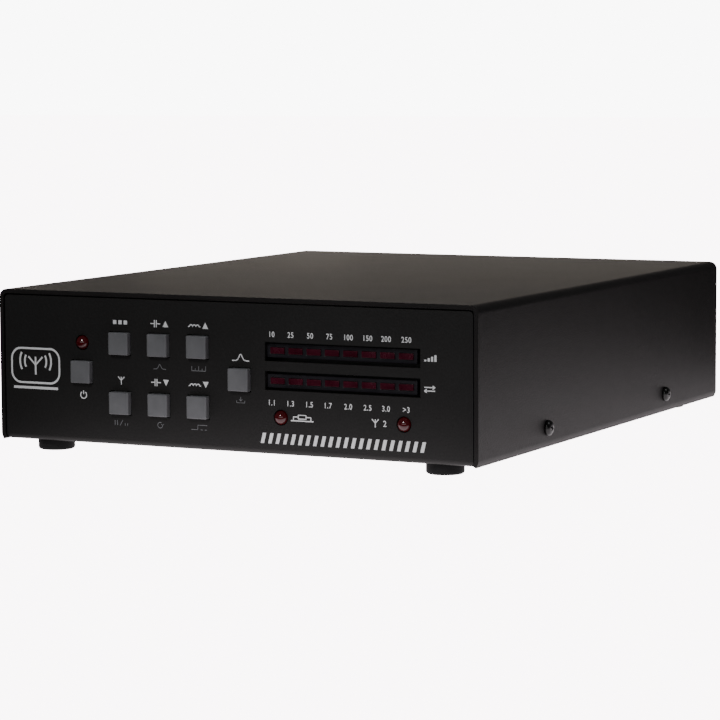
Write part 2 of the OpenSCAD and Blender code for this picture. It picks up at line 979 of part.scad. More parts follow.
// One wing, flat, from the nut's axis out to its round ear
module wing(body_r) {
    translate([wing_ear_x, ear_y])
        circle(ear_r);
    polygon([
        [0, wing_low],
        [body_r, wing_low],
        [wing_ear_x + ear_r * cos(45), ear_y - ear_r * sin(45)],
        [wing_ear_x - ear_r * sin(30), ear_y + ear_r * cos(30)],
        [body_r - wing_nut_taper, wing_nut_h - wing_low],
        [0, wing_nut_h - wing_low]
    ]);
}

module wing_nut() {
    body_r = stud_d / 2 + wing_nut_wall;
    color("silver")
        translate([stud_x, wing_y, foot_h + stud_z])
            rotate([0, wing_angle, 0])
                difference() {
                    union() {
                        rotate([-90, 0, 0])
                            cylinder(r1 = body_r, r2 = body_r - wing_nut_taper, h = wing_nut_h);
                        for (side = [0, 1])
                            mirror([side, 0, 0])
                                linear_extrude(wing_t, center = true)
                                    wing(body_r);
                    }
                    rotate([-90, 0, 0])
                        translate([0, 0, -CUT])
                            cylinder(d = stud_d + 2 * stud_fit, h = wing_nut_h + 2 * CUT);
                }
}

// ---------- jacks ----------

module jack_body(x, nose_d, reach) {
    near = rear_y - chassis_t - jack_front_gap;
    prism_y(x, jack_z, near - jack_l, near)
        square([jack_w, jack_h], center = true);
    prism_y(x, jack_z, near - CUT, rear_y + reach)
        circle(d = nose_d);
}

module jack_bore(x, reach, d, l) {
    prism_y(x, jack_z, rear_y + reach - l, rear_y + reach + CUT)
        circle(d = d);
}

module power_jack() {
    floor_y = rear_y + power_nose_reach - power_jack_bore_l;
    color([0.1, 0.1, 0.1])
        difference() {
            jack_body(power_jack_x, power_nose_d, power_nose_reach);
            jack_bore(power_jack_x, power_nose_reach, power_jack_bore_d, power_jack_bore_l);
        }
    color("silver")
        prism_y(power_jack_x, jack_z, floor_y, floor_y + power_pin_l)
            circle(d = power_jack_pin_d);
}

module small_jacks() {
    color([0.1, 0.1, 0.1])
        for (i = [1, 2])
            difference() {
                jack_body(power_jack_x - i * jack_pitch, small_nose_d, small_jack_reach);
                jack_bore(
                    power_jack_x - i * jack_pitch,
                    small_jack_reach,
                    small_jack_bore_d,
                    small_jack_bore_l
                );
            }
}

module jack_nuts() {
    color("silver")
        for (i = [1, 2])
            prism_y(power_jack_x - i * jack_pitch, jack_z, rear_y, rear_y + jack_nut_h)
                hex_ring(jack_nut_w, small_nose_d + 2 * jack_nut_gap);
}

// ---------- parts on the main board ----------

function core_d(i) = small_core_d + i * core_step;
function turns(i) = small_core_turns + 2 * i;
function row_y(row, rows) = parts_front_y + (row + 0.5) * parts_l / rows;
function core_wall(i) = core_d(i) * (1 - core_bore_share) / 2;

// Puts its children at the middle of inductor number i
module at_inductor(i) {
    translate([
        inductor_columns_x[floor(i / ROWS)],
        row_y(i % ROWS, ROWS),
        board_top_z + core_d(i) / 2
    ])
        children();
}

module inductor_cores() {
    color([0.75, 0.15, 0.1])
        for (i = [0 : INDUCTORS - 1])
            at_inductor(i)
                rotate([0, 90, 0])
                    linear_extrude(core_t, center = true)
                        difference() {
                            circle(d = core_d(i));
                            circle(d = core_d(i) * core_bore_share);
                        }
}

// One turn of wire round a core's square section
module wire_turn(wall) {
    inside = wire_gap;
    outside = wire_gap + wire_t;
    rotate([90, 0, 0])
        linear_extrude(wire_t, center = true)
            difference() {
                round_rect(core_t + 2 * outside, wall + 2 * outside, outside);
                round_rect(core_t + 2 * inside, wall + 2 * inside, inside);
            }
}

module inductor_windings() {
    sweep = 360 - 2 * winding_start;
    color([0.72, 0.4, 0.2])
        for (i = [0 : INDUCTORS - 1], k = [0 : turns(i) - 1])
            at_inductor(i)
                rotate([winding_start + k * sweep / (turns(i) - 1), 0, 0])
                    translate([0, 0, -(core_d(i) - core_wall(i)) / 2])
                        wire_turn(core_wall(i));
}

module tuning_capacitors() {
    body = [10, 4.5, 9];
    corner_r = 2;
    lift = 1.5;
    lead_x = 2.5;
    color([0.65, 0.35, 0.12])
        for (i = [0 : INDUCTORS - 1])
            translate([capacitor_x, row_y(i, INDUCTORS), board_top_z]) {
                translate([0, body[1] / 2, lift + body[2] / 2])
                    rotate([90, 0, 0])
                        linear_extrude(body[1])
                            round_rect(body[0], body[2], corner_r);
                for (x = [-1, 1])
                    translate([x * lead_x, 0, 0])
                        cylinder(d = lead_w, h = lift + CUT);
            }
}

module latching_relays() {
    lid_step = 0.3;
    base_h = 2;
    color([0.9, 0.9, 0.86])
        for (x = relay_columns_x, row = [0 : INDUCTORS - 1])
            translate([x, row_y(row, INDUCTORS), board_top_z]) {
                linear_extrude(base_h)
                    square([relay_l, relay_w], center = true);
                linear_extrude(relay_h)
                    round_rect(relay_l - 2 * lid_step, relay_w - 2 * lid_step, lid_step);
            }
}

module sensor_cores() {
    d = 12.7;
    bore_d = 7.1;
    t = 4.8;
    spread = 9;
    back = 21;
    color([0.2, 0.2, 0.22])
        for (x = [-1, 1])
            prism_y(
                SOCKETS[2][1] + x * spread,
                board_top_z + d / 2,
                rear_y - back - t,
                rear_y - back
            )
                difference() {
                    circle(d = d);
                    circle(d = bore_d);
                }
}

module controller_chip() {
    pins = 20;
    pin_pitch = 2.54;
    pin_w = 0.5;
    notch_r = 1.5;
    row_x = chip_w / 2;
    y = row_y(1, 3);
    color([0.08, 0.08, 0.09])
        difference() {
            translate([chip_x - chip_w / 2, y - chip_l / 2, board_top_z + chip_lift])
                cube([chip_w, chip_l, chip_t]);
            translate([chip_x, y - chip_l / 2, board_top_z + chip_lift + chip_t - CUT / 2])
                cylinder(r = notch_r, h = CUT);
        }
    color("silver")
        for (side = [-1, 1], i = [0 : pins - 1])
            translate([
                chip_x + side * row_x - pin_w / 2,
                y + (i - (pins - 1) / 2) * pin_pitch - pin_w / 2,
                board_top_z
            ])
                cube([pin_w, pin_w, chip_lift + chip_t / 2]);
}

module voltage_regulator() {
    body = [10, 4.5, 9];
    tab = [10, 1.3, 15.5];
    tab_hole_d = 3.6;
    tab_hole_inset = 3;
    lift = 4;
    color([0.1, 0.1, 0.1])
        translate([chip_x, regulator_y, board_top_z])
            difference() {
                union() {
                    translate([-body[0] / 2, 0, lift])
                        cube(body);
                    translate([-tab[0] / 2, body[1] - tab[1], lift])
                        cube(tab);
                    for (i = [-1, 0, 1])
                        translate([i * lead_pitch - lead_w / 2, body[1] / 2, 0])
                            cube([lead_w, lead_w, lift + CUT]);
                }
                translate([0, 0, lift + tab[2] - tab_hole_inset])
                    rotate([-90, 0, 0])
                        cylinder(d = tab_hole_d, h = body[1] + CUT);
            }
}

module filter_capacitors() {
    color([0.1, 0.15, 0.35])
        for (side = [-1, 1])
            translate([chip_x + side * filter_pitch / 2, parts_rear_y - filter_inset, board_top_z])
                cylinder(d = filter_d, h = filter_h);
}

// ---------- the whole tuner, node by node ----------

chassis();
cover();
cover_screws();
for (f = FEET)
    foot(f[1], f[2]);
for (b = BUTTONS) {
    button(b[1], b[2]);
    plunger(b[1], b[2]);
}
switch_housings();
switch_domes();
for (l = LEDS)
    led(l[1], l[2]);
for (b = BARS) {
    bar_housing(b[2]);
    bar_segments(b[2]);
}
display_board();
board_standoffs();
board_screws();
ribbon_cable();
ribbon_connectors();
for (s = SOCKETS)
    socket(s[1]);
socket_insulators();
socket_contacts();
socket_screws();
socket_nuts();
ground_stud();
ground_lock_nut();
ground_washer();
wing_nut();
power_jack();
small_jacks();
jack_nuts();
main_board();
inductor_cores();
inductor_windings();
tuning_capacitors();
latching_relays();
sensor_cores();
controller_chip();
voltage_regulator();
filter_capacitors();
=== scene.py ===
"""A desktop automatic antenna tuner: low folded-metal case, push buttons, lamps and bar displays
in front, coaxial sockets, jacks and a ground terminal behind. Lengths are in metres."""

import math

import bmesh
import bpy
from mathutils import Matrix, Vector


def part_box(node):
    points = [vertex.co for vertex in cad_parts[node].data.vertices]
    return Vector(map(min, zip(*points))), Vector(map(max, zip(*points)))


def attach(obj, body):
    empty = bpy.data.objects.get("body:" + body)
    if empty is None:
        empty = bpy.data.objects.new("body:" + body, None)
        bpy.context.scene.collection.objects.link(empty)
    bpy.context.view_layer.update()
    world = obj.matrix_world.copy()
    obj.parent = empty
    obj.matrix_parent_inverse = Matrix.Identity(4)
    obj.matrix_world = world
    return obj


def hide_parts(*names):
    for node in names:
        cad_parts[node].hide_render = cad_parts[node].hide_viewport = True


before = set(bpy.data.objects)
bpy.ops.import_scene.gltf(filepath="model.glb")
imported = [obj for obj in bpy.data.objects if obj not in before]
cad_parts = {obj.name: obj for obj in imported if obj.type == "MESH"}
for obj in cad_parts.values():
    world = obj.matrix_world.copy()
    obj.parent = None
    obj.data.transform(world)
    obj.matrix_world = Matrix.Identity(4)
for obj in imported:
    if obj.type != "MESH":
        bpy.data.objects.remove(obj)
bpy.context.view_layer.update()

MM = 0.001
# How near an edge or face has to be to the place it is picked by
NEAR = 0.1 * MM

# Planes and places that the CAD settles
CHASSIS_LOW, CHASSIS_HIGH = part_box("chassis")
COVER_LOW, COVER_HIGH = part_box("cover")
PANEL_Y = CHASSIS_LOW.y
REAR_Y = CHASSIS_HIGH.y
UNDERSIDE_Z = CHASSIS_LOW.z
COVER_T = 1.6 * MM
COVER_BEND_R = 3.0 * MM
BUTTONS = [
    "power",
    "function",
    "antenna",
    "capacitance_up",
    "capacitance_down",
    "inductance_up",
    "inductance_down",
    "tune",
]
LAMPS = ["power_led", "bypass_led", "antenna_2_led"]
SOCKETS = ["antenna_2_socket", "antenna_1_socket", "transmitter_socket"]
CORNERS = [(-1, -1), (-1, 1), (1, -1), (1, 1)]

# Standard hardware: number 4-40 screws, square-flange coaxial sockets and a 10-32 ground stud
SCREW_HEAD_R = 2.78 * MM
SCREW_SHANK_R = 1.4 * MM
SCREW_SHANK_L = 6 * MM
SCREW_PITCH = 0.635 * MM
COVER_HOLE_R = 1.62 * MM
FLANGE_T = 1.6 * MM
FLANGE_HALF = 12.7 * MM
FLANGE_SCREW_AT = 9.1 * MM
BARREL_R = 7.9375 * MM
BARREL_L = 12.7 * MM
BARREL_PITCH = 1.058 * MM
BORE_R = 6.0 * MM
STUD_R = 2.413 * MM
STUD_PITCH = 0.794 * MM
NUT_HOLE_R = 2.44 * MM


# ---------- materials ----------


def linear(code):
    """Linear colour of an sRGB hex value."""
    parts = [int(code[i : i + 2], 16) / 255 for i in (1, 3, 5)]
    return [c / 12.92 if c <= 0.04045 else ((c + 0.055) / 1.055) ** 2.4 for c in parts] + [1.0]


def add(tree, kind, settings=None, inputs=None):
    """Adds a node; an input is a value, or an output of another node to link. Returns the node."""
    node = tree.nodes.new(kind)
    for name, value in (settings or {}).items():
        setattr(node, name, value)
    for name, value in (inputs or {}).items():
        if isinstance(value, bpy.types.NodeSocket):
            tree.links.new(value, node.inputs[name])
        else:
            node.inputs[name].default_value = value
    return node


def noise(tree, place, size_mm, detail, roughness):
    """Noise whose blotches are about size_mm across."""
    return add(
        tree,
        "ShaderNodeTexNoise",
        {},
        {"Vector": place, "Scale": 1 / (size_mm * MM), "Detail": detail, "Roughness": roughness},
    ).outputs["Fac"]


METAL = {"Metallic": 1.0}


def finish(
    name,
    light,
    dark,
    rough,
    grain_mm,
    depth_mm,
    patch_mm=12,
    rough_swing=0.08,
    edge_wear_and_glint=None,
    shader=None,
):
    """A surface that goes between two colours in soft patches, with a fine grain raised on it.
    edge_wear_and_glint is a colour that shows on the sharpest edges: wear, and on the black screws
    a painted highlight. shader holds the shader's own inputs."""
    material = bpy.data.materials.new(name)
    material.use_nodes = True
    tree = material.node_tree
    surface = tree.nodes["Principled BSDF"]
    place = add(tree, "ShaderNodeTexCoord").outputs["Object"]
    patches = noise(tree, place, patch_mm, 4.0, 0.6)
    grain = noise(tree, place, grain_mm, 3.0, 0.55)
    # The grain tints the patches by up to a quarter either way
    blend = add(
        tree, "ShaderNodeMath", {"operation": "MULTIPLY_ADD"}, {0: grain, 1: 0.5, 2: -0.25}
    ).outputs[0]
    blend = add(
        tree, "ShaderNodeMath", {"operation": "ADD", "use_clamp": True}, {0: patches, 1: blend}
    ).outputs[0]
    colour = add(
        tree,
        "ShaderNodeMix",
        {"data_type": "RGBA"},
        {0: blend, 6: linear(dark), 7: linear(light)},
    ).outputs[2]
    # Sharp edges take the edge colour: wear, and on the black screws a painted highlight
    if edge_wear_and_glint:
        # Pointiness is 0.5 on a flat and rises on a sharp edge
        edge = add(tree, "ShaderNodeNewGeometry").outputs["Pointiness"]
        edge = add(
            tree,
            "ShaderNodeMapRange",
            {},
            {"Value": edge, "From Min": 0.53, "From Max": 0.62, "To Max": 0.6},
        ).outputs[0]
        edge = add(
            tree, "ShaderNodeMath", {"operation": "MULTIPLY"}, {0: edge, 1: patches}
        ).outputs[0]
        colour = add(
            tree,
            "ShaderNodeMix",
            {"data_type": "RGBA"},
            {0: edge, 6: colour, 7: linear(edge_wear_and_glint)},
        ).outputs[2]
    tree.links.new(colour, surface.inputs["Base Color"])
    uneven = add(
        tree,
        "ShaderNodeMapRange",
        {},
        {
            "Value": patches,
            "From Min": 0.3,
            "From Max": 0.7,
            "To Min": rough - rough_swing / 2,
            "To Max": rough + rough_swing / 2,
        },
    ).outputs[0]
    tree.links.new(uneven, surface.inputs["Roughness"])
    relief = add(
        tree,
        "ShaderNodeBump",
        {},
        {"Height": grain, "Distance": depth_mm * MM, "Strength": 1.0},
    ).outputs[0]
    tree.links.new(relief, surface.inputs["Normal"])
    for key, value in (shader or {}).items():
        surface.inputs[key].default_value = value
    return material


# Powder coat on folded aluminium: a fine pebbled black that goes grey at a low angle. The real
# pebble is about 0.25 mm; it is drawn at 0.6 mm so that it shows.
COVER_COAT = finish(
    "powder_coated_aluminium_cover", "#201d1d", "#141313", 0.5, 0.6, 0.1, patch_mm=30,
    rough_swing=0.02, shader={"Specular IOR Level": 0.27},
)
PANEL_COAT = finish(
    "powder_coated_aluminium_panel", "#1f1e1e", "#161515", 0.5, 0.6, 0.08, patch_mm=30,
    rough_swing=0.02, shader={"Specular IOR Level": 0.34},
)
# Black oxide on steel, oiled: deep gloss, with a painted highlight: a lighter steel colour drawn at
# the rim of the head and recess.
BLACK_SCREW = finish(
    "black_oxide_steel_screw", "#0c0c0c", "#050505", 0.22, 0.4, 0.004, patch_mm=2, edge_wear_and_glint="#202022",
    shader={"Specular IOR Level": 0.5},
)
# Moulded rubber: a dull charcoal, faintly dusty.
FOOT_RUBBER = finish(
    "moulded_rubber", "#131314", "#0b0b0c", 0.6, 0.5, 0.03, patch_mm=4,
    shader={"Specular IOR Level": 0.2},
)
# ABS moulded in a spark-eroded tool: an even mid grey with a fine matt grain.
CAP_PLASTIC = finish(
    "moulded_abs_cap", "#68696c", "#5e5f62", 0.5, 0.35, 0.012, patch_mm=5, edge_wear_and_glint="#7c7d80",
    shader={"Specular IOR Level": 0.4},
)
PLUNGER_PLASTIC = finish("moulded_acetal_plunger", "#d9d5c9", "#cbc6b8", 0.4, 0.4, 0.006)
BLACK_PLASTIC = finish("moulded_nylon_black", "#1b1b1c", "#111112", 0.42, 0.4, 0.01, patch_mm=4)
SPRING_STEEL = finish("rolled_spring_steel", "#c2c2c0", "#a5a5a3", 0.25, 0.3, 0.002, shader=METAL)
# Tinted epoxy lens: a dark wine red at rest, glassy, that takes a clear reflection of the table.
RED_LENS = finish(
    "cast_epoxy_red_lens", "#520009", "#3e0006", 0.07, 3.0, 0.002, patch_mm=3,
    rough_swing=0.02, shader={"Specular IOR Level": 0.85},
)
# Polished polycarbonate housing of the bar display: black and glossy.
BAR_PLASTIC = finish(
    "moulded_polycarbonate_black", "#2b292e", "#1d1c20", 0.24, 2.0, 0.004, patch_mm=6,
)
# Frosted epoxy window of each bar: a muted wine red that differs a little from bar to bar.
SEGMENT_LENS = finish(
    "cast_epoxy_bar_window", "#4e0a22", "#24000b", 0.25, 1.2, 0.01, patch_mm=7,
)
DARK_BOARD = finish(
    "glass_epoxy_board_black_mask", "#101312", "#0a0c0b", 0.35, 0.9, 0.01, patch_mm=3
)
CIRCUIT_BOARD = finish(
    "glass_epoxy_board_solder_mask", "#1d5a38", "#174a2e", 0.3, 0.9, 0.01, patch_mm=3
)
PLATED_STEEL = finish(
    "zinc_plated_steel", "#b7b7b4", "#9b9b97", 0.32, 0.5, 0.005, patch_mm=2, shader=METAL,
    edge_wear_and_glint="#d5d5d2",
)
# Die-cast zinc, tumbled and plated: a soft satin with slight waves.
WING_ZINC = finish(
    "die_cast_zinc_plated", "#b3b1ab", "#949189", 0.36, 0.9, 0.02, patch_mm=3, shader=METAL,
    edge_wear_and_glint="#d2d0ca",
)
RIBBON_PLASTIC = finish("extruded_vinyl_ribbon", "#8b8c8e", "#77787a", 0.5, 0.6, 0.01)
# Nickel plate on turned brass: bright with a warm tint. The fine rings from the lathe are not drawn.
SOCKET_NICKEL = finish(
    "nickel_plated_brass_turned", "#cac4b8", "#aba598", 0.22, 0.35, 0.004, patch_mm=3,
    shader=METAL, edge_wear_and_glint="#e2ddd2",
)
SOCKET_INSULATOR = finish("moulded_phenolic_cream", "#d8d2c0", "#c6bfab", 0.42, 0.5, 0.01)
CONTACT_PLATING = finish(
    "silver_plated_bronze_contact", "#c9b98c", "#a8986c", 0.28, 0.4, 0.004, shader=METAL
)
CORE_PAINT = finish("epoxy_coated_iron_powder_red", "#8c2b20", "#6e1f17", 0.35, 0.7, 0.03)
ENAMELLED_WIRE = finish(
    "enamelled_copper_wire", "#b4622c", "#8e4a20", 0.25, 0.5, 0.004, shader=METAL
)
CAPACITOR_COATING = finish("dipped_epoxy_brown", "#93541f", "#7a4418", 0.28, 1.0, 0.03)
RELAY_PLASTIC = finish("moulded_polyester_white", "#d8d7d0", "#c6c5bd", 0.42, 0.5, 0.008)
FERRITE = finish("sintered_ferrite", "#3c3c40", "#2b2b2f", 0.55, 0.4, 0.02)
CAPACITOR_SLEEVE = finish("shrunk_vinyl_sleeve_blue", "#1b2f5e", "#14234a", 0.25, 1.0, 0.01)
# Screen-printed epoxy ink: a flat white film with slightly thin patches.
WHITE_INK = finish("screen_printed_white_ink", "#f6f8fa", "#e9ebed", 0.5, 0.3, 0.004, patch_mm=2)
GREY_INK = finish("screen_printed_grey_ink", "#7f8084", "#6e6f73", 0.5, 0.3, 0.004, patch_mm=2)


# ---------- modelling helpers ----------


def only(piece):
    """Selects this piece alone and makes it the active one."""
    bpy.ops.object.select_all(action="DESELECT")
    piece.select_set(True)
    bpy.context.view_layer.objects.active = piece


def apply_place(piece):
    """Moves the piece's place, turn and size into its mesh."""
    only(piece)
    bpy.ops.object.transform_apply(location=True, rotation=True, scale=True)


def centre(node):
    """Middle of a CAD node's box."""
    low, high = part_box(node)
    return (low + high) / 2


def block(name, low, high):
    """A box from corner to corner."""
    low, high = Vector(low), Vector(high)
    bpy.ops.object.select_all(action="DESELECT")
    bpy.ops.mesh.primitive_cube_add(size=1, location=(low + high) / 2, scale=high - low)
    piece = bpy.context.object
    piece.name = name
    apply_place(piece)
    return piece


def rod(radius, depth, place=(0, 0, 0), vertices=32, turn=(0, 0, 0)):
    """A round rod with its middle at place, to cut with or to build on."""
    bpy.ops.object.select_all(action="DESELECT")
    bpy.ops.mesh.primitive_cylinder_add(
        vertices=vertices, radius=radius, depth=depth, location=place, rotation=turn
    )
    return bpy.context.object


def modify(piece, kind, **settings):
    """Applies one modifier."""
    only(piece)
    modifier = piece.modifiers.new(kind.title(), kind)
    for key, value in settings.items():
        setattr(modifier, key, value)
    bpy.ops.object.modifier_apply(modifier=modifier.name)
    return piece


def eased(piece, width, segments, angle=50, **settings):
    """Rounds every edge that is sharper than the angle."""
    return modify(
        piece, "BEVEL", width=width, segments=segments, limit_method="ANGLE",
        angle_limit=math.radians(angle), **settings,
    )


def edit(piece, select, *steps):
    """In edit mode: selects the faces or edges that pass, then runs each step on them.
    select is (kind, test); a step is (operator, settings)."""
    only(piece)
    bpy.ops.object.mode_set(mode="EDIT")
    kind, test = select
    bpy.ops.mesh.select_mode(type={"verts": "VERT", "edges": "EDGE", "faces": "FACE"}[kind])
    bpy.ops.mesh.select_all(action="DESELECT")
    mesh = bmesh.from_edit_mesh(piece.data)
    for element in getattr(mesh, kind):
        if test(element):
            element.select_set(True)
    mesh.select_flush_mode()
    bmesh.update_edit_mesh(piece.data)
    for operator, settings in steps:
        operator(**settings)
    bpy.ops.object.mode_set(mode="OBJECT")
    return piece


def middle(element):
    """Middle of a face or an edge."""
    return sum((v.co for v in element.verts), Vector()) / len(element.verts)


def cut(piece, tool, operation="DIFFERENCE"):
    """Cuts the piece with the tool, or joins or crosses them, and removes the tool."""
    modify(piece, "BOOLEAN", operation=operation, object=tool, solver="EXACT")
    bpy.data.objects.remove(tool)
    return piece


def turned(name, outline, steps=48):
    """A turned piece: the outline of (radius, height) points spun round the Z axis."""
    mesh = bpy.data.meshes.new(name)
    shape = bmesh.new()
    line = [shape.verts.new((r, 0, h)) for r, h in outline]
    for a, b in zip(line, line[1:]):
        shape.edges.new((a, b))
    shape.to_mesh(mesh)
    shape.free()
    piece = bpy.data.objects.new(name, mesh)
    bpy.context.scene.collection.objects.link(piece)
    edit(
        piece,
        ("verts", lambda v: True),
        (
            bpy.ops.mesh.spin,
            {"steps": steps, "angle": math.tau, "center": (0, 0, 0), "axis": (0, 0, 1)},
        ),
        (bpy.ops.mesh.select_all, {"action": "SELECT"}),
        (bpy.ops.mesh.remove_doubles, {"threshold": 0.001 * MM}),
        (bpy.ops.mesh.normals_make_consistent, {"inside": False}),
    )
    return piece


def about_z(degrees):
    """A turn about the Z axis."""
    return Matrix.Rotation(math.radians(degrees), 4, "Z")


def put(piece, place, turn=Matrix.Identity(4)):
    """Turns the piece, then moves it, both into its mesh."""
    piece.data.transform(Matrix.Translation(Vector(place)) @ turn)
    piece.data.update()
    return piece


def copied(piece, name):
    """A copy with its own mesh."""
    twin = piece.copy()
    twin.data = piece.data.copy()
    twin.name = name
    bpy.context.scene.collection.objects.link(twin)
    return twin


def joined(name, pieces):
    """Several meshes as one piece."""
    bpy.ops.object.select_all(action="DESELECT")
    for piece in pieces:
        piece.select_set(True)
    bpy.context.view_layer.objects.active = pieces[0]
    bpy.ops.object.join()
    pieces[0].name = name
    return pieces[0]


def smooth(piece, angle=35):
    """Smooth shading, broken at edges sharper than the angle, with large flats kept flat."""
    only(piece)
    bpy.ops.object.shade_smooth_by_angle(angle=math.radians(angle))
    return modify(piece, "WEIGHTED_NORMAL", mode="FACE_AREA", weight=100, keep_sharp=True)


def done(piece, material, body, slot, *nodes):
    """Gives a new piece its finish and the body that it rides on, in place of the CAD nodes."""
    piece.data.materials.clear()
    piece.data.materials.append(material)
    for face in piece.data.polygons:
        face.material_index = 0
    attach(piece, body)
    if nodes:
        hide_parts(*nodes)
    return piece


def softened(node, name, width, segments=2, angle=40):
    """A copy of a CAD node with its faces made whole and its edges rounded."""
    piece = copied(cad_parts[node], name)
    piece.parent = None
    for key in list(piece.keys()):
        del piece[key]
    edit(
        piece,
        ("verts", lambda v: True),
        (bpy.ops.mesh.select_all, {"action": "SELECT"}),
        (bpy.ops.mesh.remove_doubles, {"threshold": 0.002 * MM}),
        (bpy.ops.mesh.customdata_custom_splitnormals_clear, {}),
        (bpy.ops.mesh.dissolve_limited, {"angle_limit": math.radians(0.6)}),
    )
    eased(piece, width, segments, angle, use_clamp_overlap=True, miter_outer="MITER_ARC")
    return smooth(piece, 30)


FRONTWARD = Matrix.Rotation(math.radians(90), 4, "X")
REARWARD = Matrix.Rotation(math.radians(-90), 4, "X")


# ---------- case ----------

screws_low, screws_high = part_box("cover_screws")
SIDE_SCREW_Y = (screws_low.y + SCREW_HEAD_R, screws_high.y - SCREW_HEAD_R)
SIDE_SCREW_Z = (screws_low.z + screws_high.z) / 2


def make_cover():
    """One sheet folded down both sides, with its lower edges leaning in and its cut edges eased."""
    x, top, low = COVER_HIGH.x, COVER_HIGH.z, COVER_LOW.z
    lean_x, lean_z = 0.9 * MM, 1.8 * MM
    bpy.ops.object.select_all(action="DESELECT")
    bpy.ops.mesh.primitive_plane_add(size=1, location=(0, (COVER_LOW.y + COVER_HIGH.y) / 2, top))
    sheet = bpy.context.object
    sheet.scale = (2 * x, COVER_HIGH.y - COVER_LOW.y, 1)
    apply_place(sheet)
    edit(
        sheet,
        ("edges", lambda e: abs(middle(e).x) > x - MM),
        (
            bpy.ops.mesh.extrude_region_move,
            {"TRANSFORM_OT_translate": {"value": (0, 0, low + lean_z - top)}},
        ),
        (
            bpy.ops.mesh.extrude_region_move,
            {"TRANSFORM_OT_translate": {"value": (0, 0, -lean_z)}},
        ),
        (
            bpy.ops.transform.resize,
            {"value": ((x - lean_x) / x, 1, 1), "center_override": (0, 0, 0)},
        ),
    )
    edit(
        sheet,
        ("edges", lambda e: abs(middle(e).x) > x - MM and middle(e).z > top - NEAR),
        (bpy.ops.mesh.bevel, {"offset": COVER_BEND_R, "segments": 10, "profile": 0.5}),
    )
    edit(
        sheet,
        (
            "edges",
            lambda e: abs(e.verts[0].co.z - e.verts[1].co.z) < NEAR
            and abs(middle(e).z - low - lean_z) < NEAR
            and abs(middle(e).y) < 20 * MM,
        ),
        (bpy.ops.mesh.bevel, {"offset": 0.7 * MM, "segments": 4, "profile": 0.5}),
    )
    edit(
        sheet,
        ("faces", lambda f: True),
        (bpy.ops.mesh.normals_make_consistent, {"inside": False}),
    )
    if max(sheet.data.polygons, key=lambda f: f.area).normal.z < 0:
        sheet.data.flip_normals()
    modify(sheet, "SOLIDIFY", thickness=COVER_T, offset=-1, use_even_offset=True)
    for y in SIDE_SCREW_Y:
        cut(sheet, rod(COVER_HOLE_R, 3 * x, (0, y, SIDE_SCREW_Z), turn=(0, math.radians(90), 0)))
    return smooth(eased(sheet, 0.3 * MM, 3), 30)


done(make_cover(), COVER_COAT, "case", "cover_coat", "cover").name = "folded_cover"
chassis = softened("chassis", "folded_chassis", 0.18 * MM)
done(chassis, PANEL_COAT, "case", "panel_coat", "chassis")


def pan_screw(name, head_h):
    """Pan head screw along Z, its head's seat at 0, with a rolled thread and a tapered recess."""
    root_r = SCREW_SHANK_R * 0.84
    rim_h = 0.495 * MM
    recess_low = head_h - 1.15 * MM
    outline = [(0, -SCREW_SHANK_L), (SCREW_SHANK_R * 0.7, -SCREW_SHANK_L)]
    outline.append((root_r, -SCREW_SHANK_L + 0.3 * MM))
    z = -SCREW_SHANK_L + 0.4 * MM
    while z < -SCREW_PITCH:
        outline += [(root_r, z), (SCREW_SHANK_R, z + SCREW_PITCH * 0.45)]
        outline.append((SCREW_SHANK_R, z + SCREW_PITCH * 0.55))
        z += SCREW_PITCH
    outline += [(root_r, -0.05 * MM), (SCREW_SHANK_R, 0), (SCREW_HEAD_R, 0), (SCREW_HEAD_R, rim_h)]
    # The crown is fuller at its shoulder than a plain quarter of an ellipse
    for i in range(1, 12):
        a = math.radians(90 * i / 12)
        across = SCREW_HEAD_R * math.cos(a) ** 0.62
        outline.append((across, rim_h + (head_h - rim_h) * math.sin(a)))
    outline.append((0, head_h))
    screw = turned(name, outline, 32)
    for turn in (0, 90):
        bar = block("recess", (-1.55 * MM, -0.36 * MM, recess_low), (1.55 * MM, 0.36 * MM, head_h + MM))
        edit(
            bar,
            ("faces", lambda f: f.normal.z < -0.9),
            (
                bpy.ops.transform.resize,
                {"value": (0.45, 0.7, 1), "center_override": (0, 0, recess_low)},
            ),
        )
        cut(screw, put(bar, (0, 0, 0), about_z(turn + 12)))
    return smooth(eased(screw, 0.05 * MM, 2), 45)


SCREW = pan_screw("screw_pattern", screws_high.x - COVER_HIGH.x)
heads = []
for side in (-1, 1):
    for y in SIDE_SCREW_Y:
        turn = Matrix.Rotation(math.radians(90 * side), 4, "Y") @ about_z(25 * side + 900 * y)
        head = copied(SCREW, "cover_screw")
        heads.append(put(head, (side * COVER_HIGH.x, y, SIDE_SCREW_Z), turn))
done(joined("cover_screw_set", heads), BLACK_SCREW, "case", "black_screw", "cover_screws")


def make_foot(node):
    """Round moulded foot with a moulding rim at its top and an eased lower edge."""
    low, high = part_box(node)
    at = centre(node)
    r, h = (high.x - low.x) / 2, high.z - low.z
    edge = [
        (r - MM + MM * math.sin(math.radians(a)), MM - MM * math.cos(math.radians(a)))
        for a in range(0, 91, 15)
    ]
    outline = [(0, 0.25 * MM), (2.4 * MM, 0.25 * MM), (2.7 * MM, 0)] + edge
    outline += [(r, h - 0.5 * MM), (r - 0.25 * MM, h - 0.2 * MM), (r - 0.25 * MM, h), (0, h)]
    foot = turned(node, outline, 64)
    return smooth(put(foot, (at.x, at.y, low.z)), 40)


for corner in ("front_left", "front_right", "rear_left", "rear_right"):
    foot = make_foot("foot_" + corner)
    done(foot, FOOT_RUBBER, "case", "foot_rubber", "foot_" + corner).name = "rubber_foot_" + corner


# ---------- buttons ----------


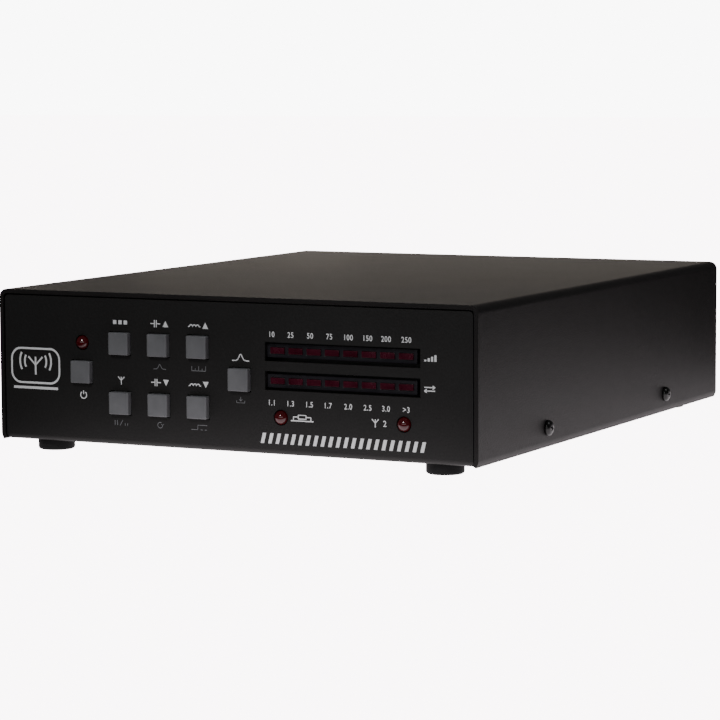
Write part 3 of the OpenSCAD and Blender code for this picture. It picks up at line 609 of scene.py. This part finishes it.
def make_cap(name):
    """Square moulded cap with eased front edges and a socket behind for its stem."""
    low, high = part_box(name + "_button")
    at = centre(name + "_button")
    half = (high.x - low.x) / 2
    stem_half, socket_depth = 1.95 * MM, 2.8 * MM
    cap = block(name, low, high)
    edit(
        cap,
        ("faces", lambda f: f.normal.y > 0.9),
        (bpy.ops.mesh.inset, {"thickness": half - stem_half}),
        (
            bpy.ops.mesh.extrude_region_move,
            {"TRANSFORM_OT_translate": {"value": (0, -socket_depth, 0)}},
        ),
    )

    def outer_front(edge):
        sides = [max(abs(v.co.x - at.x), abs(v.co.z - at.z)) for v in edge.verts]
        front = min(v.co.y for v in edge.verts) < low.y + NEAR
        return front and min(sides) > half - NEAR

    edit(
        cap,
        ("edges", outer_front),
        (
            bpy.ops.mesh.bevel,
            {"offset": 0.5 * MM, "segments": 3, "profile": 0.55, "affect": "EDGES"},
        ),
    )
    return smooth(cap, 50)


for button in BUTTONS:
    body = button + "_button"
    cap = make_cap(button)
    done(cap, CAP_PLASTIC, body, "button_plastic", body).name = button + "_cap"


# ---------- lamps and bar displays ----------


def make_lamp(node):
    """Domed lamp along Z pointing to the front, with its base rim and two leads."""
    low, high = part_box(node)
    at = centre(node)
    r, body_l = 2.5 * MM, 8.7 * MM
    rim_r = min((high.x - low.x) / 2, 2.9 * MM)
    lead_x, lead_half = 1.27 * MM, 0.25 * MM
    outline = [(0, 0), (rim_r, 0), (rim_r, MM), (r, MM)]
    for a in range(0, 90, 6):
        a = math.radians(a)
        outline.append((r * math.cos(a), body_l - r + r * math.sin(a)))
    outline.append((0, body_l))
    parts = [put(turned(node, outline, 48), (at.x, low.y + body_l, at.z), FRONTWARD)]
    for x in (at.x - lead_x, at.x + lead_x):
        start = (x - lead_half, low.y + body_l - 0.2 * MM, at.z - lead_half)
        parts.append(block("lead", start, (x + lead_half, high.y, at.z + lead_half)))
    return smooth(joined(node, parts), 40)


for node in LAMPS:
    done(make_lamp(node), RED_LENS, "case", "red_lens", node).name = node.replace("led", "lamp")

SEGMENTS = 8
SEGMENT_W = 5.5 * MM
POCKET_GAP = 0.06 * MM


def make_housing(bar):
    """Moulded block of the bar display with a shallow pocket round each segment."""
    low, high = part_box(bar + "_bar_housing")
    first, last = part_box(bar + "_bar_segments")
    pitch = (last.x - first.x - SEGMENT_W) / (SEGMENTS - 1)
    cuts = [((0, 0, first.z - POCKET_GAP), (0, 0, 1)), ((0, 0, last.z + POCKET_GAP), (0, 0, 1))]
    for i in range(SEGMENTS):
        start = first.x + i * pitch
        cuts.append(((start - POCKET_GAP, 0, 0), (1, 0, 0)))
        cuts.append(((start + SEGMENT_W + POCKET_GAP, 0, 0), (1, 0, 0)))
    steps = []
    for place, facing in cuts:
        steps.append((bpy.ops.mesh.select_all, {"action": "SELECT"}))
        steps.append((bpy.ops.mesh.bisect, {"plane_co": place, "plane_no": facing}))
    housing = edit(block(bar, low, high), ("faces", lambda f: True), *steps)

    def in_pocket(face):
        at = middle(face)
        along = (at.x - first.x) % pitch
        return (
            face.normal.y < -0.9
            and first.z < at.z < last.z
            and first.x < at.x < last.x
            and along < SEGMENT_W
        )

    edit(
        housing,
        ("faces", in_pocket),
        (
            bpy.ops.mesh.extrude_region_move,
            {"TRANSFORM_OT_translate": {"value": (0, 2 * MM, 0)}},
        ),
    )
    return smooth(eased(housing, 0.16 * MM, 3, 40), 50)


for bar in ("power", "match"):
    housing = done(make_housing(bar), BAR_PLASTIC, "case", "bar_plastic", bar + "_bar_housing")
    housing.name = bar + "_bar_frame"
    windows = softened(bar + "_bar_segments", bar + "_bar_windows", 0.22 * MM, 3)
    done(windows, SEGMENT_LENS, "case", "segment_lens", bar + "_bar_segments")


# ---------- printing on the panels ----------

INK_T = 0.02 * MM
STROKE = 0.42


def lettered(text, x, z, height, width=1.0, bold=0.016):
    """Numbers or marks in the built-in font, flat in X and Z and facing the front, as a mesh."""
    bpy.ops.object.select_all(action="DESELECT")
    bpy.ops.object.text_add(location=(0, 0, 0))
    piece = bpy.context.object
    piece.data.body = text
    piece.data.size = height / 0.72 * MM
    piece.data.offset = bold * height * MM
    piece.data.space_character = 1.12
    piece.data.extrude = INK_T
    piece.data.align_x = "CENTER"
    piece.data.align_y = "CENTER"
    bpy.ops.object.convert(target="MESH")
    piece = bpy.context.object
    xs = [v.co.x for v in piece.data.vertices]
    ys = [v.co.y for v in piece.data.vertices]
    centre = Vector(((min(xs) + max(xs)) / 2, (min(ys) + max(ys)) / 2, 0))
    piece.data.transform(Matrix.Diagonal((width, 1, 1, 1)) @ Matrix.Translation(-centre))
    return put(piece, (x * MM, PANEL_Y, UNDERSIDE_Z + z * MM), FRONTWARD)


def polyline_curve(name, dimensions, lines, closed):
    """A curve through each line of (x, z) points in millimetres."""
    curve = bpy.data.curves.new(name, "CURVE")
    curve.dimensions = dimensions
    for line in lines:
        spline = curve.splines.new("POLY")
        spline.points.add(len(line) - 1)
        for point, (x, z) in zip(spline.points, line):
            point.co = (x * MM, z * MM, 0, 1)
        spline.use_cyclic_u = closed
    return curve


def meshed(curve):
    """The curve as a mesh piece."""
    piece = bpy.data.objects.new(curve.name, curve)
    bpy.context.scene.collection.objects.link(piece)
    only(piece)
    bpy.ops.object.convert(target="MESH")
    return bpy.context.object


def drawn(lines, weight=STROKE):
    """Strokes of ink along lines of (x, z) points in millimetres on the front panel, as a mesh."""
    curve = polyline_curve("strokes", "3D", lines, False)
    curve.bevel_depth = weight / 2 * MM
    curve.bevel_resolution = 2
    curve.use_fill_caps = True
    piece = meshed(curve)
    piece.data.transform(Matrix.Diagonal((1, 1, 2 * INK_T / (weight * MM), 1)))
    return put(piece, (0, PANEL_Y, UNDERSIDE_Z), FRONTWARD)


def filled(outlines):
    """Solid shapes of ink inside outlines of (x, z) points in millimetres, as a mesh."""
    curve = polyline_curve("shapes", "2D", outlines, True)
    curve.fill_mode = "BOTH"
    curve.extrude = INK_T
    return put(meshed(curve), (0, PANEL_Y, UNDERSIDE_Z), FRONTWARD)


def arc(x, z, r, start, end, steps=16):
    """Points of an arc from start to end degrees, counted from +X towards +Z."""
    angles = [math.radians(start + (end - start) * i / steps) for i in range(steps + 1)]
    return [(x + r * math.cos(a), z + r * math.sin(a)) for a in angles]


def shifted(lines, x, z):
    """Lines moved by x and z."""
    return [[(px + x, pz + z) for px, pz in line] for line in lines]


def rectangle(x, z, w, h):
    """Outline of a rectangle with its lower left corner at x and z."""
    return [(x, z), (x + w, z), (x + w, z + h), (x, z + h)]


def triangle(x, z, up, half=1.15, tall=2.2):
    """Outline of a solid triangle that points up or down."""
    s = tall / 2 if up else -tall / 2
    return [(x - half, z - s), (x + half, z - s), (x, z + s)]


ANTENNA = [[(0, -1.4), (0, 1.4)], [(-1.3, 1.4), (0, 0.1), (1.3, 1.4)]]
STANDBY = [arc(0, 0, 1.25, -235, 55, 20), [(0, 0.3), (0, 1.6)]]
CAPACITOR = [
    [(-0.4, -1.3), (-0.4, 1.3)],
    [(0.4, -1.3), (0.4, 1.3)],
    [(-2.0, 0), (-0.4, 0)],
    [(0.4, 0), (2.0, 0)],
]
COIL = [
    [(-2.5, -0.5), (-1.95, -0.5)]
    + arc(-1.3, -0.5, 0.65, 180, 0, 8)[1:]
    + arc(0.0, -0.5, 0.65, 180, 0, 8)[1:]
    + arc(1.3, -0.5, 0.65, 180, 0, 8)[1:]
    + [(2.5, -0.5)],
]
PEAK = [
    [(-3.4, -1.1), (-1.9, -1.05), (-1.15, -0.7), (-0.6, 0.3), (-0.25, 1.0), (0, 1.15),
     (0.25, 1.0), (0.6, 0.3), (1.15, -0.7), (1.9, -1.05), (3.4, -1.1)],
]

columns = {b: centre(b + "_button").x / MM for b in BUTTONS}

# Heights of the rows of marks above the underside, in millimetres
UPPER_MARKS, MIDDLE_MARKS, LOWER_MARKS = 43.9, 28.7, 23.1
TUNE_MARK, STORE_MARK, STANDBY_MARK, FOOT_MARKS = 33.3, 18.4, 17.3, 8.0
POWER_NUMBERS, POWER_MARK, MATCH_MARK, MATCH_NUMBERS, LAMP_MARKS = 41.9, 34.9, 25.6, 18.15, 13.0
ROW_MARK_X = 76.9

white_lines = []
white_lines += shifted(STANDBY, columns["power"] + 0.3, STANDBY_MARK)
white_lines += shifted(ANTENNA, columns["antenna"] + 0.2, LOWER_MARKS)
white_lines += shifted(PEAK, columns["tune"] + 0.3, TUNE_MARK)
white_shapes = []
for way, z in (("up", UPPER_MARKS), ("down", LOWER_MARKS)):
    c_x, l_x = columns["capacitance_" + way], columns["inductance_" + way]
    white_lines += shifted(CAPACITOR, c_x - 1.4, z) + shifted(COIL, l_x - 1.5, z)
    white_shapes += [triangle(c_x + 2.7, z, way == "up"), triangle(l_x + 2.9, z, way == "up")]
# Row marks: rising steps for power, forward and returned arrows for match
for i in range(4):
    x = ROW_MARK_X - 2 + i * 1.25
    white_shapes.append(rectangle(x, POWER_MARK, 0.8, 0.6 + 0.55 * i))
for way in (1, -1):
    arrow = [[(-2, 0.6), (2, 0.6)], [(1.1, 1.2), (2, 0.6), (1.1, 0)]]
    white_lines += shifted([[(way * x, way * z) for x, z in line] for line in arrow],
                           ROW_MARK_X, MATCH_MARK - 0.05)
# Bypass mark: a straight line past a box
white_lines += shifted(
    [
        [(-4.4, -0.7), (4.4, -0.7)],
        [(-1.5, 0.0), (1.5, 0.0), (1.5, 1.3), (-1.5, 1.3), (-1.5, 0.0)],
        [(-3.4, -0.7), (-3.4, 0.65), (-1.5, 0.65)],
        [(3.4, -0.7), (3.4, 0.65), (1.5, 0.65)],
    ],
    28.3,
    LAMP_MARKS,
)
white_lines += shifted(ANTENNA, 56.4, LAMP_MARKS)
# Function mark: three squares
for i in (-1, 0, 1):
    white_shapes.append(rectangle(columns["function"] + 2.2 * i - 0.7, UPPER_MARKS - 0.7, 1.4, 1.4))
# Plain rounded frame with an antenna that sends waves to both sides, and a bar under it
FRAME_X, FRAME_Z, CORNER = 10.1, 6.2, 3.9
frame_line = []
for x, z, start in ((1, 1, 0), (-1, 1, 90), (-1, -1, 180), (1, -1, 270)):
    frame_line += arc(x * (FRAME_X - CORNER), z * (FRAME_Z - CORNER), CORNER, start, start + 90, 10)
heavy_lines = [frame_line + frame_line[:1]]
heavy_lines += [[(2.3 * x, 2.3 * z) for x, z in line] for line in ANTENNA]
for r in (4.6, 6.6):
    heavy_lines += [arc(0, 1.6, r, -28, 28, 10), arc(0, 1.6, r, 152, 208, 10)]
heavy_lines = shifted(heavy_lines, -80.2, 26.95)
white_shapes.append(rectangle(-89.6, 18.5, 18.8, 0.9))
# Slanted dashes along the foot of the panel
for i in range(22):
    x = 12.0 + 2.92 * i
    white_shapes.append([(x, 3.9), (x + 1.3, 3.9), (x + 2.2, 7.5), (x + 0.9, 7.5)])

texts = []
for text, x in zip(
    ("10", "25", "50", "75", "100", "150", "200", "250"),
    (16.75, 24.0, 31.6, 39.0, 46.4, 53.75, 60.6, 68.25),
):
    texts.append(lettered(text, x, POWER_NUMBERS, 1.95, 0.86))
for text, x in zip(
    ("1.1", "1.3", "1.5", "1.7", "2.0", "2.5", "3.0"),
    (16.5, 23.9, 31.25, 38.5, 46.1, 53.5, 60.5),
):
    texts.append(lettered(text, x, MATCH_NUMBERS, 1.95, 0.86))
texts.append(lettered(">3", 68.1, MATCH_NUMBERS, 1.95, 0.9))
texts.append(lettered("2", 60.0, LAMP_MARKS, 2.1, 0.95))
printing = joined(
    "white_printing",
    [drawn(white_lines), drawn(heavy_lines, 0.75), filled(white_shapes)] + texts,
)
done(printing, WHITE_INK, "case", "panel_coat")

# Second marks in grey: peak, scale ruler, high and low, automatic, threshold, store
PEAK_SMALL = [[(0.75 * x, 0.75 * z) for x, z in PEAK[0]]]
RULER = [[(-2.8, -0.8), (2.8, -0.8)]]
for x, z in ((-2.8, 0.9), (-1.4, 0.1), (0, 0.9), (1.4, 0.1), (2.8, 0.9)):
    RULER.append([(x, -0.8), (x, z)])
HIGH_LOW = [
    [(-2.6, -0.9), (-2.6, 0.9)],
    [(-1.6, -0.9), (-1.6, 0.9)],
    [(-0.6, -1.0), (0.6, 1.0)],
    [(1.6, -0.9), (1.6, -0.1)],
    [(2.6, -0.9), (2.6, -0.1)],
]
AUTOMATIC = [arc(0, 0, 1.0, 60, 360, 18), [(0.45, 0.35), (1.0, 0.0), (1.45, 0.5)]]
THRESHOLD = [
    [(-3.2, -0.8), (-0.6, -0.8), (-0.6, 0.8), (3.2, 0.8)],
    [(0.6, -0.8), (1.4, -0.8)],
    [(2.2, -0.8), (3.0, -0.8)],
]
STORE = [
    [(0, 1.1), (0, -0.2)],
    [(-0.6, 0.35), (0, -0.3), (0.6, 0.35)],
    [(-1.6, -0.1), (-1.6, -0.9), (1.6, -0.9), (1.6, -0.1)],
]
grey_lines = []
for mark, button, nudge, z in (
    (PEAK_SMALL, "capacitance_up", 0.2, MIDDLE_MARKS),
    (RULER, "inductance_up", 0.1, MIDDLE_MARKS),
    (HIGH_LOW, "antenna", 0, FOOT_MARKS),
    (AUTOMATIC, "capacitance_down", 0.1, FOOT_MARKS),
    (THRESHOLD, "inductance_down", 0.1, FOOT_MARKS),
    (STORE, "tune", 0.2, STORE_MARK),
):
    grey_lines += shifted(mark, columns[button] + nudge, z)
done(drawn(grey_lines, 0.24), GREY_INK, "case", "panel_coat").name = "grey_printing"


# ---------- rear sockets ----------


def thread(r, start, end, pitch, depth):
    """Outline points of a ridged screw thread of radius r, from start to end along Z."""
    points = []
    turns = int((end - start) / pitch)
    for i in range(turns):
        z = start + i * pitch
        points += [
            (r - depth, z),
            (r - depth * 0.1, z + pitch * 0.42),
            (r, z + pitch * 0.5),
            (r - depth * 0.1, z + pitch * 0.58),
        ]
    points.append((r - depth, start + turns * pitch))
    return points


def on_rear(piece, node, y=REAR_Y, turn=Matrix.Identity(4)):
    """Stands a piece that was made along Z on the rear panel, in line with the CAD node."""
    at = centre(node)
    return put(piece, (at.x, y, at.z), REARWARD @ turn)


def make_socket(node):
    """Coaxial socket: square flange with eased corners, threaded barrel and four rim notches."""
    end = FLANGE_T + BARREL_L
    inner_r, seat = BARREL_R - 0.9 * MM, FLANGE_T - 1.2 * MM
    outline = [(BORE_R, seat), (inner_r, seat), (inner_r, FLANGE_T + 0.5 * MM)]
    outline += thread(BARREL_R, FLANGE_T + 0.7 * MM, end - 0.5 * MM, BARREL_PITCH, 0.55 * MM)
    outline += [(BARREL_R - 0.55 * MM, end - 0.35 * MM), (BARREL_R - 0.8 * MM, end)]
    outline += [(BORE_R + 0.15 * MM, end), (BORE_R, end - 0.2 * MM), (BORE_R, seat)]
    barrel = turned(node, outline, 64)
    for turn in (45, 135):
        notch = block("notch", (-0.8 * MM, -9 * MM, end - 1.2 * MM), (0.8 * MM, 9 * MM, end + MM))
        cut(barrel, put(notch, (0, 0, 0), about_z(turn)))
    flange = block("flange", (-FLANGE_HALF, -FLANGE_HALF, 0), (FLANGE_HALF, FLANGE_HALF, FLANGE_T))
    edit(
        flange,
        ("edges", lambda e: abs(e.verts[0].co.z - e.verts[1].co.z) > MM),
        (bpy.ops.mesh.bevel, {"offset": 1.5 * MM, "segments": 5, "profile": 0.5}),
    )
    cut(flange, rod(BORE_R, 8 * MM, vertices=64))
    for x, z in CORNERS:
        cut(flange, rod(1.6 * MM, 8 * MM, (x * FLANGE_SCREW_AT, z * FLANGE_SCREW_AT, 0), 24))
    eased(flange, 0.2 * MM, 2)
    return smooth(on_rear(joined(node, [barrel, flange]), node), 32)


def make_insulators():
    """Cream insulator in each socket, dished at its face."""
    tail, face = -7 * MM, 11.3 * MM
    r, hole_r = BORE_R - 0.05 * MM, 2.72 * MM
    outline = [(hole_r, tail), (r, tail), (r, face - 0.3 * MM), (r - 0.3 * MM, face)]
    outline += [(3.9 * MM, face), (3.6 * MM, face - 0.35 * MM), (2.9 * MM, face - 0.35 * MM)]
    outline += [(hole_r, face - 0.5 * MM), (hole_r, tail)]
    parts = [on_rear(turned("insulator", outline, 48), node) for node in SOCKETS]
    return smooth(joined("socket_insulator_set", parts), 40)


def make_contacts():
    """Slotted spring contact in the middle of each socket."""
    outline = [
        (0, -13), (1.6, -13), (1.6, -7.2), (2.68, -7.2), (2.68, 11.4), (2.45, 11.85),
        (2.25, 11.85), (2.03, 11.4), (2.03, 1.0), (0, 0.2),
    ]
    pattern = turned("contact", [(r * MM, h * MM) for r, h in outline], 32)
    for turn in (20, 110):
        slit = block("slit", (-3 * MM, -0.18 * MM, 5.5 * MM), (3 * MM, 0.18 * MM, 13 * MM))
        cut(pattern, put(slit, (0, 0, 0), about_z(turn)))
    parts = [on_rear(copied(pattern, "contact"), node) for node in SOCKETS]
    bpy.data.objects.remove(pattern)
    return smooth(joined("socket_contact_set", parts), 40)


for node in SOCKETS:
    socket = done(make_socket(node), SOCKET_NICKEL, "case", "socket_nickel", node)
    socket.name = node.replace("socket", "coaxial_socket")
done(make_insulators(), SOCKET_INSULATOR, "case", "socket_insulator", "socket_insulators")
done(make_contacts(), CONTACT_PLATING, "case", "contact_plating", "socket_contacts")

heads = []
for node in SOCKETS:
    at = centre(node)
    for i, (a, b) in enumerate(CORNERS):
        place = (at.x + a * FLANGE_SCREW_AT, REAR_Y + FLANGE_T, at.z + b * FLANGE_SCREW_AT)
        turn = REARWARD @ about_z(37 * i + 500 * at.x)
        heads.append(put(copied(SCREW, "flange_screw"), place, turn))
done(joined("socket_screw_set", heads), PLATED_STEEL, "case", "plated_steel", "socket_screws")
bpy.data.objects.remove(SCREW)


# ---------- ground terminal ----------


def make_stud():
    """Threaded stud with its head inside the rear panel."""
    low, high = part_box("ground_stud")
    start, end = low.y - REAR_Y, high.y - REAR_Y
    head_r, head_top = 4.75 * MM, start + 3.2 * MM
    outline = [(0, start), (head_r, start), (head_r, head_top - 0.01 * MM)]
    outline += [(STUD_R - 0.4 * MM, head_top)]
    outline += thread(STUD_R, head_top + 0.2 * MM, end - 0.6 * MM, STUD_PITCH, 0.42 * MM)
    outline += [(STUD_R - 0.75 * MM, end), (0, end)]
    return smooth(on_rear(turned("ground_stud", outline, 32), "ground_stud"), 40)


def hex_nut(name, across, height, hole_r):
    """Hexagon nut along Z with chamfered corners and an eased hole."""
    corner_r = across / 2 / math.cos(math.radians(30))
    nut = rod(corner_r, height, (0, 0, height / 2), 6)
    apply_place(nut)
    nut.name = name
    ease = corner_r - across / 2 * 0.97
    fall = ease * math.tan(math.radians(30))
    outer_r, mouth_r = corner_r + 0.01 * MM, hole_r + 1.3 * MM
    envelope = [(0, 0), (corner_r - ease, 0), (outer_r, fall)]
    envelope += [(outer_r, height - fall), (corner_r - ease, height), (0, height)]
    cut(nut, turned("envelope", envelope, 64), "INTERSECT")
    hole = [(0, -MM), (mouth_r, -MM), (hole_r, 0.3 * MM)]
    hole += [(hole_r, height - 0.3 * MM), (mouth_r, height + MM), (0, height + MM)]
    cut(nut, turned("hole", hole, 32))
    return smooth(nut, 25)


def make_washer():
    """Flat washer with one edge rounded by the press and one sharp."""
    low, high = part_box("ground_washer")
    r, t, hole = (high.x - low.x) / 2, high.y - low.y, 2.7 * MM
    outline = [(hole, 0.12 * MM), (hole + 0.12 * MM, 0), (r - 0.05 * MM, 0), (r, 0.05 * MM)]
    outline += [(r, t - 0.25 * MM), (r - 0.08 * MM, t - 0.08 * MM), (r - 0.25 * MM, t)]
    outline += [(hole + 0.05 * MM, t), (hole, t - 0.05 * MM), (hole, 0.12 * MM)]
    return smooth(on_rear(turned("washer", outline, 64), "ground_washer", low.y), 30)


def make_wing_nut():
    """Cast wing nut: a tapered boss and two rounded ears that blend into it."""
    low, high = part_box("wing_nut")
    top, skin = 6.85 * MM, 0.15 * MM
    wing_t, tip_x, tip_z = 2.1 * MM, 9.8 * MM, 7.4 * MM
    outline = [(0, skin), (4.85 * MM, skin), (4.95 * MM, 0.6 * MM)]
    outline += [(4.2 * MM, top - 0.35 * MM), (3.8 * MM, top), (0, top)]
    nut = turned("wing_nut", outline, 48)
    for side in (180, 0):
        end = (9.6 * MM, wing_t / 2, 6.0 * MM)
        ear = block("ear", (0, -wing_t / 2, 1.2 * MM), end)
        edit(
            ear,
            ("faces", lambda f: f.normal.x > 0.9),
            (bpy.ops.transform.translate, {"value": (0, 0, 2.1 * MM)}),
            (
                bpy.ops.transform.resize,
                {"value": (1, 0.95, 1.0), "center_override": (end[0], 0, end[2])},
            ),
        )
        tip = rod(2.45 * MM, wing_t, (tip_x, 0, tip_z), 48, (math.radians(90), 0, 0))
        apply_place(tip)
        for part in (ear, tip):
            put(part, (0, 0, 0), about_z(side))
        nut = joined("wing_nut", [nut, ear, tip])
    modify(nut, "REMESH", mode="VOXEL", voxel_size=0.22 * MM)
    modify(nut, "SMOOTH", factor=0.5, iterations=7)
    cut(nut, rod(NUT_HOLE_R, 30 * MM))
    return smooth(on_rear(nut, "ground_stud", low.y, about_z(-25)), 50)


stud = done(make_stud(), PLATED_STEEL, "case", "plated_steel", "ground_stud")
stud.name = "ground_terminal_stud"
low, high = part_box("ground_lock_nut")
lock_nut = hex_nut("lock_nut", 9.53 * MM, high.y - low.y, NUT_HOLE_R)
# A hexagon is wider across its corners, so the box tells which way round the nut sits
flats_up = 0 if high.x - low.x > high.z - low.z else 30
on_rear(lock_nut, "ground_lock_nut", low.y, about_z(flats_up))
done(lock_nut, PLATED_STEEL, "case", "plated_steel", "ground_lock_nut").name = "ground_terminal_nut"
washer = done(make_washer(), PLATED_STEEL, "ground_washer", "plated_steel", "ground_washer")
washer.name = "ground_terminal_washer"
done(make_wing_nut(), WING_ZINC, "wing_nut", "wing_nut_zinc", "wing_nut").name = "cast_wing_nut"

for node, name, material, slot, width in (
    ("power_jack", "power_jack_body", BLACK_PLASTIC, "black_plastic", 0.2),
    ("small_jacks", "small_jack_bodies", BLACK_PLASTIC, "black_plastic", 0.15),
    ("jack_nuts", "small_jack_nuts", SOCKET_NICKEL, "plated_steel", 0.15),
):
    done(softened(node, name, width * MM), material, "case", slot, node)


# ---------- CAD nodes that keep their shape ----------

KEPT = {
    PLUNGER_PLASTIC: [b + "_plunger" for b in BUTTONS],
    BLACK_PLASTIC: ["switch_housings", "ribbon_connectors", "controller_chip", "voltage_regulator"],
    SPRING_STEEL: ["switch_domes"],
    DARK_BOARD: ["display_board"],
    CIRCUIT_BOARD: ["main_board"],
    PLATED_STEEL: ["board_standoffs", "board_screws", "socket_nuts"],
    RIBBON_PLASTIC: ["ribbon_cable"],
    CORE_PAINT: ["inductor_cores"],
    ENAMELLED_WIRE: ["inductor_windings"],
    CAPACITOR_COATING: ["tuning_capacitors"],
    RELAY_PLASTIC: ["latching_relays"],
    FERRITE: ["sensor_cores"],
    CAPACITOR_SLEEVE: ["filter_capacitors"],
}
for material, nodes in KEPT.items():
    for node in nodes:
        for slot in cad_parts[node].material_slots:
            slot.material = material


# ---------- floor, light and camera ----------

# The camera sees paper and backdrop at this level, whatever light they give the case
WHITE_LEVEL = 9.0
# Middle of the pool of light painted on the floor
PAINTED_POOL_CENTRE = (0.025, 0.03, 0)

bpy.ops.object.select_all(action="DESELECT")
bpy.ops.mesh.primitive_plane_add(size=12, location=(0, 0, 0))
floor = bpy.context.object
floor.name = "floor"
paper = bpy.data.materials.new("white_paper")
paper.use_nodes = True
tree = paper.node_tree
tree.nodes.clear()
place = add(tree, "ShaderNodeTexCoord").outputs["Object"]
reach = add(
    tree, "ShaderNodeVectorMath", {"operation": "DISTANCE"}, {0: place, 1: PAINTED_POOL_CENTRE}
).outputs["Value"]
# A painted pool of light: the sheet itself glows round the case, and the glow falls off away
# from it. The glow lights the case from below.
painted_light_pool = add(
    tree,
    "ShaderNodeMapRange",
    {"interpolation_type": "SMOOTHSTEP"},
    {"Value": reach, "From Min": 0.16, "From Max": 0.23, "To Min": 1.5, "To Max": 0.0},
).outputs[0]
seen = add(tree, "ShaderNodeLightPath").outputs["Is Camera Ray"]
white = add(
    tree, "ShaderNodeMath", {"operation": "MULTIPLY"}, {0: seen, 1: WHITE_LEVEL}
).outputs[0]
glow = add(tree, "ShaderNodeMath", {"operation": "MAXIMUM"}, {0: painted_light_pool, 1: white}).outputs[0]
painted_glow = add(
    tree, "ShaderNodeEmission", {}, {"Color": linear("#fff7fa"), "Strength": glow}
).outputs[0]
add(tree, "ShaderNodeOutputMaterial", {}, {"Surface": painted_glow})
floor.data.materials.append(paper)

world = bpy.data.worlds.new("studio")
bpy.context.scene.world = world
world.use_nodes = True
tree = world.node_tree
tree.nodes.clear()
seen = add(tree, "ShaderNodeLightPath").outputs["Is Camera Ray"]
glow = add(
    tree, "ShaderNodeMapRange", {}, {"Value": seen, "To Min": 0.06, "To Max": WHITE_LEVEL}
).outputs[0]
sky = add(tree, "ShaderNodeBackground", {}, {"Color": linear("#ffffff"), "Strength": glow})
add(tree, "ShaderNodeOutputWorld", {}, {"Surface": sky.outputs[0]})


def softbox(name, place, target, size, power, colour):
    """Rectangular studio light that shines from its place at its target."""
    lamp = bpy.data.lights.new(name, "AREA")
    lamp.shape = "RECTANGLE"
    lamp.size, lamp.size_y = size
    lamp.energy = power
    lamp.color = linear(colour)[:3]
    box = bpy.data.objects.new(name, lamp)
    bpy.context.scene.collection.objects.link(box)
    box.location = place
    box.rotation_mode = "QUATERNION"
    box.rotation_quaternion = (Vector(target) - Vector(place)).to_track_quat("-Z", "Y")
    box.visible_camera = False
    return box


# Cards low behind the case that its top mirrors, a broad card on the left and one in front, and
# two small lamps
TOP = (0, 0, COVER_HIGH.z)
FRONT = (0, PANEL_Y, COVER_HIGH.z / 2)
WARM, NEUTRAL = "#fff2e4", "#ffffff"
softbox("near_back_card", (-0.15, 0.35, 0.12), TOP, (0.3, 0.12), 0.07, WARM)
softbox("low_back_card", (-0.25, 0.25, 0.09), TOP, (0.2, 0.06), 0.02, WARM)
softbox("far_back_card", (-0.15, 0.6, 0.15), TOP, (0.4, 0.2), 0.06, WARM)
softbox("left_card", (-0.45, 0.1, 0.15), TOP, (0.3, 0.15), 1.5, WARM)
softbox("front_card", (0.28, -1.6, 0.3), FRONT, (1.9, 0.5), 2.9, NEUTRAL)
softbox("front_lamp", (0.014, -1.05, 0.79), FRONT, (0.2, 0.2), 5, NEUTRAL)
softbox("right_lamp", (0.68, 0, 1.0), FRONT, (0.14, 0.14), 1.6, NEUTRAL)

# The camera stands a little right of the front and looks slightly down. It aims at the middle
# of the case's underside, then moves sideways and up in its own picture plane.
AZIMUTH, ELEVATION, ROLL = math.radians(26.758), math.radians(5.819), math.radians(-0.293)
DISTANCE, SIDEWAYS, UPWARD = 1.11428, -0.0070990, 0.021341
level_back = Vector((math.sin(AZIMUTH), -math.cos(AZIMUTH), 0))
back = level_back * math.cos(ELEVATION) + Vector((0, 0, math.sin(ELEVATION)))
right = Vector((math.cos(AZIMUTH), math.sin(AZIMUTH), 0))
up = back.cross(right)
level_right = right * math.cos(ROLL) + up * math.sin(ROLL)
level_up = -right * math.sin(ROLL) + up * math.cos(ROLL)
aim = Vector((0, (COVER_LOW.y + COVER_HIGH.y) / 2, UNDERSIDE_Z))
stand = aim + DISTANCE * back + SIDEWAYS * level_right + UPWARD * level_up
lens = bpy.data.cameras.new("camera")
lens.lens, lens.sensor_width = 144.925, 36
camera = bpy.data.objects.new("camera", lens)
bpy.context.scene.collection.objects.link(camera)
facing = Matrix((level_right, level_up, back)).transposed().to_4x4()
camera.matrix_world = Matrix.Translation(stand) @ facing
bpy.context.scene.camera = camera
